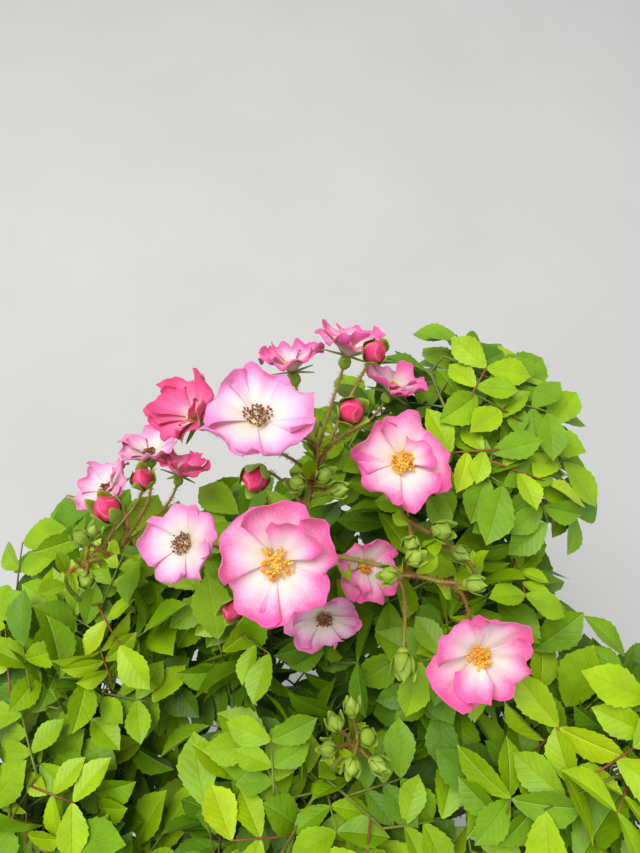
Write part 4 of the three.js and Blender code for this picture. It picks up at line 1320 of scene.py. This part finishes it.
def petal(radius, cup, angle, draw, lift=0.0):
    """A petal's upper side as a grid of points round the bloom's axis, with its uv."""
    v = 1 - (1 - np.linspace(0, 1, PETAL_ROWS)[:, None]) ** 1.4
    u = np.linspace(-1, 1, PETAL_COLUMNS)[None, :]
    one, two, three = (6.3 * draw() for _ in range(3))
    run, climb = walked(math.atan(cup) * (1.35 - 0.7 * v) + 0.1 * (1 - 2 * v), np.diff(v, axis=0))
    scale = radius / run[-1, 0]
    lobes = 0.07 * np.sin(2.7 * u + one) + 0.05 * np.sin(6.5 * u + two) + 0.016 * np.sin(17 * u + three)
    edge = 1 - (0.03 + 0.1 * u**4 - lobes) * v**2
    spread = np.radians(50) * (0.86 + 0.14 * v) * u
    # The margin rolls back in some places and turns up in others.
    roll = np.clip(1.9 * np.sin(2.3 * u + two) + 1.2 * np.sin(5.2 * u + three), -1.8, 2.2) + 0.01
    tight = roll / (0.25 * radius)
    past = np.clip(v - 0.75, 0, 1) * radius
    away = (0.06 + run * scale * 0.94 / radius) * radius * edge + np.sin(tight * past) / tight - past
    ruffle = 0.075 * v**2 * np.sin(2.6 * np.pi * u + one) * (1 - 0.6 * u**2)
    hollow = 0.06 * u**2 * v - 0.05 * v * (1 - v)
    z = climb * scale * edge + radius * (ruffle + hollow + 0.075 * u * v) + lift
    z = z - (1 - np.cos(tight * past)) / tight
    uv = np.stack([np.broadcast_to(u * 0.5 + 0.5, z.shape), np.broadcast_to(v, z.shape)], -1)
    return round_axis(away * np.cos(spread), away * np.sin(spread), z, angle), uv


def add_petal(batch, points, uv, slots, thick=PETAL_THICK):
    """A petal as a thin closed solid, with a slot for its face and one for its back."""
    rows, columns = points.shape[:2]
    normal = unit(np.cross(np.gradient(points, axis=0), np.gradient(points, axis=1)) + 1e-9)
    below = points - normal * thick
    quads = grid_faces(rows, columns, False)[:, [0, 3, 2, 1]]
    count = rows * columns
    loop = list(range(columns)) + [r * columns + columns - 1 for r in range(1, rows)]
    loop += [(rows - 1) * columns + c for c in range(columns - 2, -1, -1)]
    loop += [r * columns for r in range(rows - 2, 0, -1)]
    one, two = np.array(loop), np.roll(loop, -1)
    rim = np.stack([one, two, two + count, one + count], 1)
    both = np.concatenate([points.reshape(-1, 3), below.reshape(-1, 3)])
    uvs = np.concatenate([uv.reshape(-1, 2)] * 2)
    batch.add(both, [np.concatenate([quads, rim]), quads[:, ::-1] + count], uvs, slots)


def bud_profile(radius, v):
    """How far out and how high a bud's side is: a pointed egg."""
    return radius * np.sin(np.pi * v**0.66) ** (0.8 + 0.6 * v), radius * (-0.45 + 2.9 * v)


def sepals(batch, head, radius, length, droop, draw):
    """Five leafy sepals: spread under a bloom, or clasping a bud where there is no droop."""
    v = np.linspace(0, 1, SEPAL_ROWS)
    for k in range(5):
        angle = 2 * math.pi * (k + 0.5) / 5 + 0.3 * (draw() - 0.5)
        if droop is None:
            out, high = bud_profile(radius, 0.06 + v * 0.62)
            flare = (0.1 + 0.35 * draw()) * radius
            out, high = out * 1.05 + 0.25 + flare * v**3 * 2, high + flare * v**2
            wide = radius * 0.62 * np.sin(np.pi * (0.28 + 0.7 * v)) ** 0.8 + 0.1
        else:
            out, high = walked(math.radians(droop) * (0.3 + 0.7 * v), length / (SEPAL_ROWS - 1))
            out, wide = radius + out, length * 0.17 * (1 - v) ** 0.6 + 0.12
        edges_and_rib = ((-1, 0), (0, 0.35), (1, 0))
        rows = [round_axis(out, side * wide, high - depth, angle) for side, depth in edges_and_rib]
        uv = np.stack(np.meshgrid(v, [0, 0.5, 1], indexing="ij"), -1)
        add_petal(batch, placed(np.stack(rows, 1), head), uv, [1, 1], SEPAL_THICK)


def bud_shape(radius, turns):
    """A pointed egg whose wrapped petals show as spiral ridges."""
    outline = np.stack(bud_profile(radius, np.linspace(0, 1, BUD_ROWS)), 1)
    outline[0, 0] = outline[-1, 0] = 0

    def wrapped(angle, height):
        return 0.93 + 0.16 * ((turns * angle / (2 * np.pi) + height / radius * 0.4) % 1)

    return lathe(outline, BUD_SIDES, wrapped)


def add_turned(batch, outline, size, head, slot):
    points, faces, uv = lathe(np.array(outline) * size, TURNED_SIDES)
    batch.add(placed(points, head), faces, uv, slot)


def note(rows, *values):
    """Adds one value to each row of what is scattered later: places, ways and sizes."""
    for row, value in zip(rows, values):
        row.append(value)


def bract(batch, curve, share, turn, length, slot, draw):
    """A small plain leaf that stands off a stalk."""
    way = curve.way(share)
    heading = unit(sideways(way, turn) + way * (0.4 + 0.5 * draw()))
    normal = unit(way - heading * (way @ heading))
    add_leaflet(batch, (curve.at(share), heading, np.cross(normal, heading), normal, length), slot, draw)


def add_bud(truss, head, draw):
    green = head["look"] == "green"
    size = head["radius"] * (1.0 if green else 1.05)
    points, faces, uv = bud_shape(size, 2 if green else 3)
    batch = truss["stalks"] if green else truss["petals"]
    batch.add(placed(points, head), faces, uv, BUD_SLOTS.get(head["look"], 1))
    add_turned(truss["stalks"], BUD_HIP, size, head, 1)
    sepals(truss["stalks"], head, size, 0, None, draw)
    for _ in range(BUD_BRISTLES):
        turn, high = FULL_TURN * draw(), -0.8 + 2.2 * draw()
        out = np.array([math.cos(turn), math.sin(turn), 0.2])
        spot = placed(out * [size * 0.72, size * 0.72, 0] + [0, 0, high * size], head)
        note(truss["bristles"], spot, out @ facing_frame(head["facing"]), 0.5 + 0.5 * draw())


def add_bloom(truss, head, draw):
    radius, cup, whorl = head["radius"], head["cup"], LOOKS[head["look"]]["whorl"]
    front = 2 * list(LOOKS).index(head["look"])
    age = "old" if head["look"] in ("old", "pale") else "young"

    def open_petal(size, petal_cup, angle, lift=0.0):
        grid, uv = petal(size, petal_cup, angle, draw, lift)
        add_petal(truss["petals"], placed(grid, head), uv, [front, front + 1])

    first = FULL_TURN * draw()
    for k in range(5):
        angle = first + 2 * math.pi * k / 5 + 0.12 * (draw() - 0.5)
        open_petal(radius * (0.94 + 0.11 * draw()), cup + 0.14 * (draw() - 0.5), angle)
    for k in range(whorl):
        angle = first + 0.7 + 2 * math.pi * k / whorl + 0.8 * (draw() - 0.5)
        open_petal(radius * (0.62 + 0.2 * draw()), cup + 0.18 + 0.2 * draw(), angle, radius * 0.05)
    add_turned(truss["stamens"], BOSS, radius, head, 2 * (age == "old"))
    add_turned(truss["stalks"], BLOOM_HIP, radius, head, 1)
    sepals(truss["stalks"], head, radius * 0.1, radius * 0.62, -28 + 50 * cup, draw)
    axes = facing_frame(head["facing"])
    for _ in range(BLOOM_STAMENS):
        out = pointing(FULL_TURN * draw(), math.radians(6 + (66 - 60 * cup) * draw() ** 0.7))
        root = head["at"] + (out * [radius * 0.12, radius * 0.12, 0] + [0, 0, radius * 0.06]) @ axes
        way, long = out @ axes, radius * (0.12 + 0.12 * draw())
        note(truss["threads"][age], root, way, long)
        note(truss["anthers"][age], root + way * long, UP, 0.75 + 0.5 * draw())


def add_bristles(truss, curve, radius, index):
    """Bracts and glandular bristles along a truss's axis, which comes first, or along a stalk."""
    draw = seeded(60 + index)
    start, bracts, longest = (0.3, 5, 15) if index == 0 else (0.08, 1, 8)
    for k in range(bracts):
        turn, length = (index + k) * GOLDEN_ANGLE, longest + 9 * draw()
        bract(truss["stalks"], curve, 0.08 + 0.1 * k, turn, length, 3 + k % 2, draw)
    for _ in range(int(curve.length * BRISTLES_PER_MM)):
        share = start + (1 - start) * draw()
        way = curve.way(share)
        out = sideways(way, FULL_TURN * draw())
        root = curve.at(share) + out * radius * 0.85
        note(truss["bristles"], root, unit(out + way * 0.2 * (draw() - 0.5)), 0.5 + 0.8 * draw())


for name, truss in TRUSSES.items():
    truss.update({part: Batch() for part in ("petals", "stalks", "stamens")})
    truss["bristles"] = ([], [], [])
    truss.update({part: {age: ([], [], []) for age in STAMENS} for part in ("threads", "anthers")})
    add_limb(truss["stalks"], truss["axis"], AXIS_RADII, *AXIS_TUBE, truss["sunk"])
    for index, head in enumerate(truss["made"]):
        draw = seeded(900 + 31 * index + len(name))
        add_limb(truss["stalks"], head["stalk"], STALK_RADII, *STALK_TUBE)
        add_one = add_bud if head["cup"] is None else add_bloom
        add_one(truss, head, draw)
    add_bristles(truss, truss["axis"], AXIS_RADII[1], 0)
    for index, head in enumerate(truss["made"], 1):
        add_bristles(truss, head["stalk"], STALK_RADII[1], index)
    roots, ways, sizes = (np.array(row) for row in truss["bristles"])
    truss["stalks"].add_mesh(scatter(roots, ways, sizes, gland_finish, spike, **SPIKE), 2)
    ends = roots + ways * sizes[:, None] * 1.7
    truss["stalks"].add_mesh(scatter(ends[::3], ways[::3], sizes[::3], gland_finish, bead, **KNOB), 2)
    for slot, (age, sizes) in zip((0, 2), STAMENS.items()):
        threads, anthers = truss["threads"][age], truss["anthers"][age]
        if threads[0]:
            thread = {"length": THREAD_LENGTH, "radius": sizes["thread"]}
            truss["stamens"].add_mesh(scatter(*threads, stamen_finishes[slot], spike, **thread), slot)
            anthers = scatter(*anthers, stamen_finishes[slot + 1], bead, radius=sizes["anther"])
            truss["stamens"].add_mesh(anthers, slot + 1)
    finishes = {"stalks": stalk_finishes, "petals": petal_finishes, "stamens": stamen_finishes}
    for part, materials in finishes.items():
        if truss[part].count:
            piece(f"{name}_{part}", truss[part], name, materials)

# The stage
# A plain pale floor, a pale sky and one broad soft light over the plant, and the camera that looks
# steeply down on the far half of the crown, as the photographer did.
# Sizes and places here are in metres, the lens and film in millimetres, the look down in degrees.
FLOOR_SIZE, UNDER_THE_POT = 8.0, 0.0002
CAMERA = {"place": (0.030, 0.143, 0.885), "down": 68, "lens": 27.05, "film": 36}
SKY_COLOUR, SKY_STRENGTH = (0.96, 0.97, 1.0, 1.0), 0.62
corners = [(x * FLOOR_SIZE / 2, y * FLOOR_SIZE / 2, 0) for x, y in ((-1, -1), (1, -1), (1, 1), (-1, 1))]
floor_mesh = bpy.data.meshes.new("floor")
floor_mesh.from_pydata(corners, [], [(0, 1, 2, 3)])
pale_floor = toned("pale_floor", (196, 196, 192), (214, 214, 211), (3, 4), (0.8, 0.1))
floor_mesh.materials.append(pale_floor)
floor = new_object("floor", floor_mesh)
floor.location.z = -UNDER_THE_POT
floor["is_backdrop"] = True


def lamp(name, place, target, size, power):
    data = bpy.data.lights.new(name, "AREA")
    data.shape, data.size, data.energy = "DISK", size, power
    made = new_object(name, data)
    made.location = place
    made.rotation_mode = "QUATERNION"
    made.rotation_quaternion = (Vector(target) - Vector(place)).to_track_quat("-Z", "Y")


lamp("sky_light", (-0.5, 0.5, 2.2), (0, 0.1, 0.4), 1.2, 32)
lamp("fill_light", (1.6, -1.0, 1.4), (0, 0.1, 0.4), 1.4, 5)
world = bpy.data.worlds.new("pale_sky")
world.use_nodes = True
sky = world.node_tree.nodes["Background"]
sky.inputs[0].default_value = SKY_COLOUR
sky.inputs[1].default_value = SKY_STRENGTH
scene = bpy.context.scene
scene.world = world
scene.view_settings.view_transform = "Standard"

camera_data = bpy.data.cameras.new("camera")
camera_data.lens, camera_data.sensor_width, camera_data.clip_start = CAMERA["lens"], CAMERA["film"], 0.01
camera = new_object("camera", camera_data)
camera.location = CAMERA["place"]
camera.rotation_euler = (math.radians(90 - CAMERA["down"]), 0, 0)
scene.camera = camera

low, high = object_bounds()
sizes = {"cad": [list(corner) for corner in cad_box], "visual": [list(low), list(high)]}
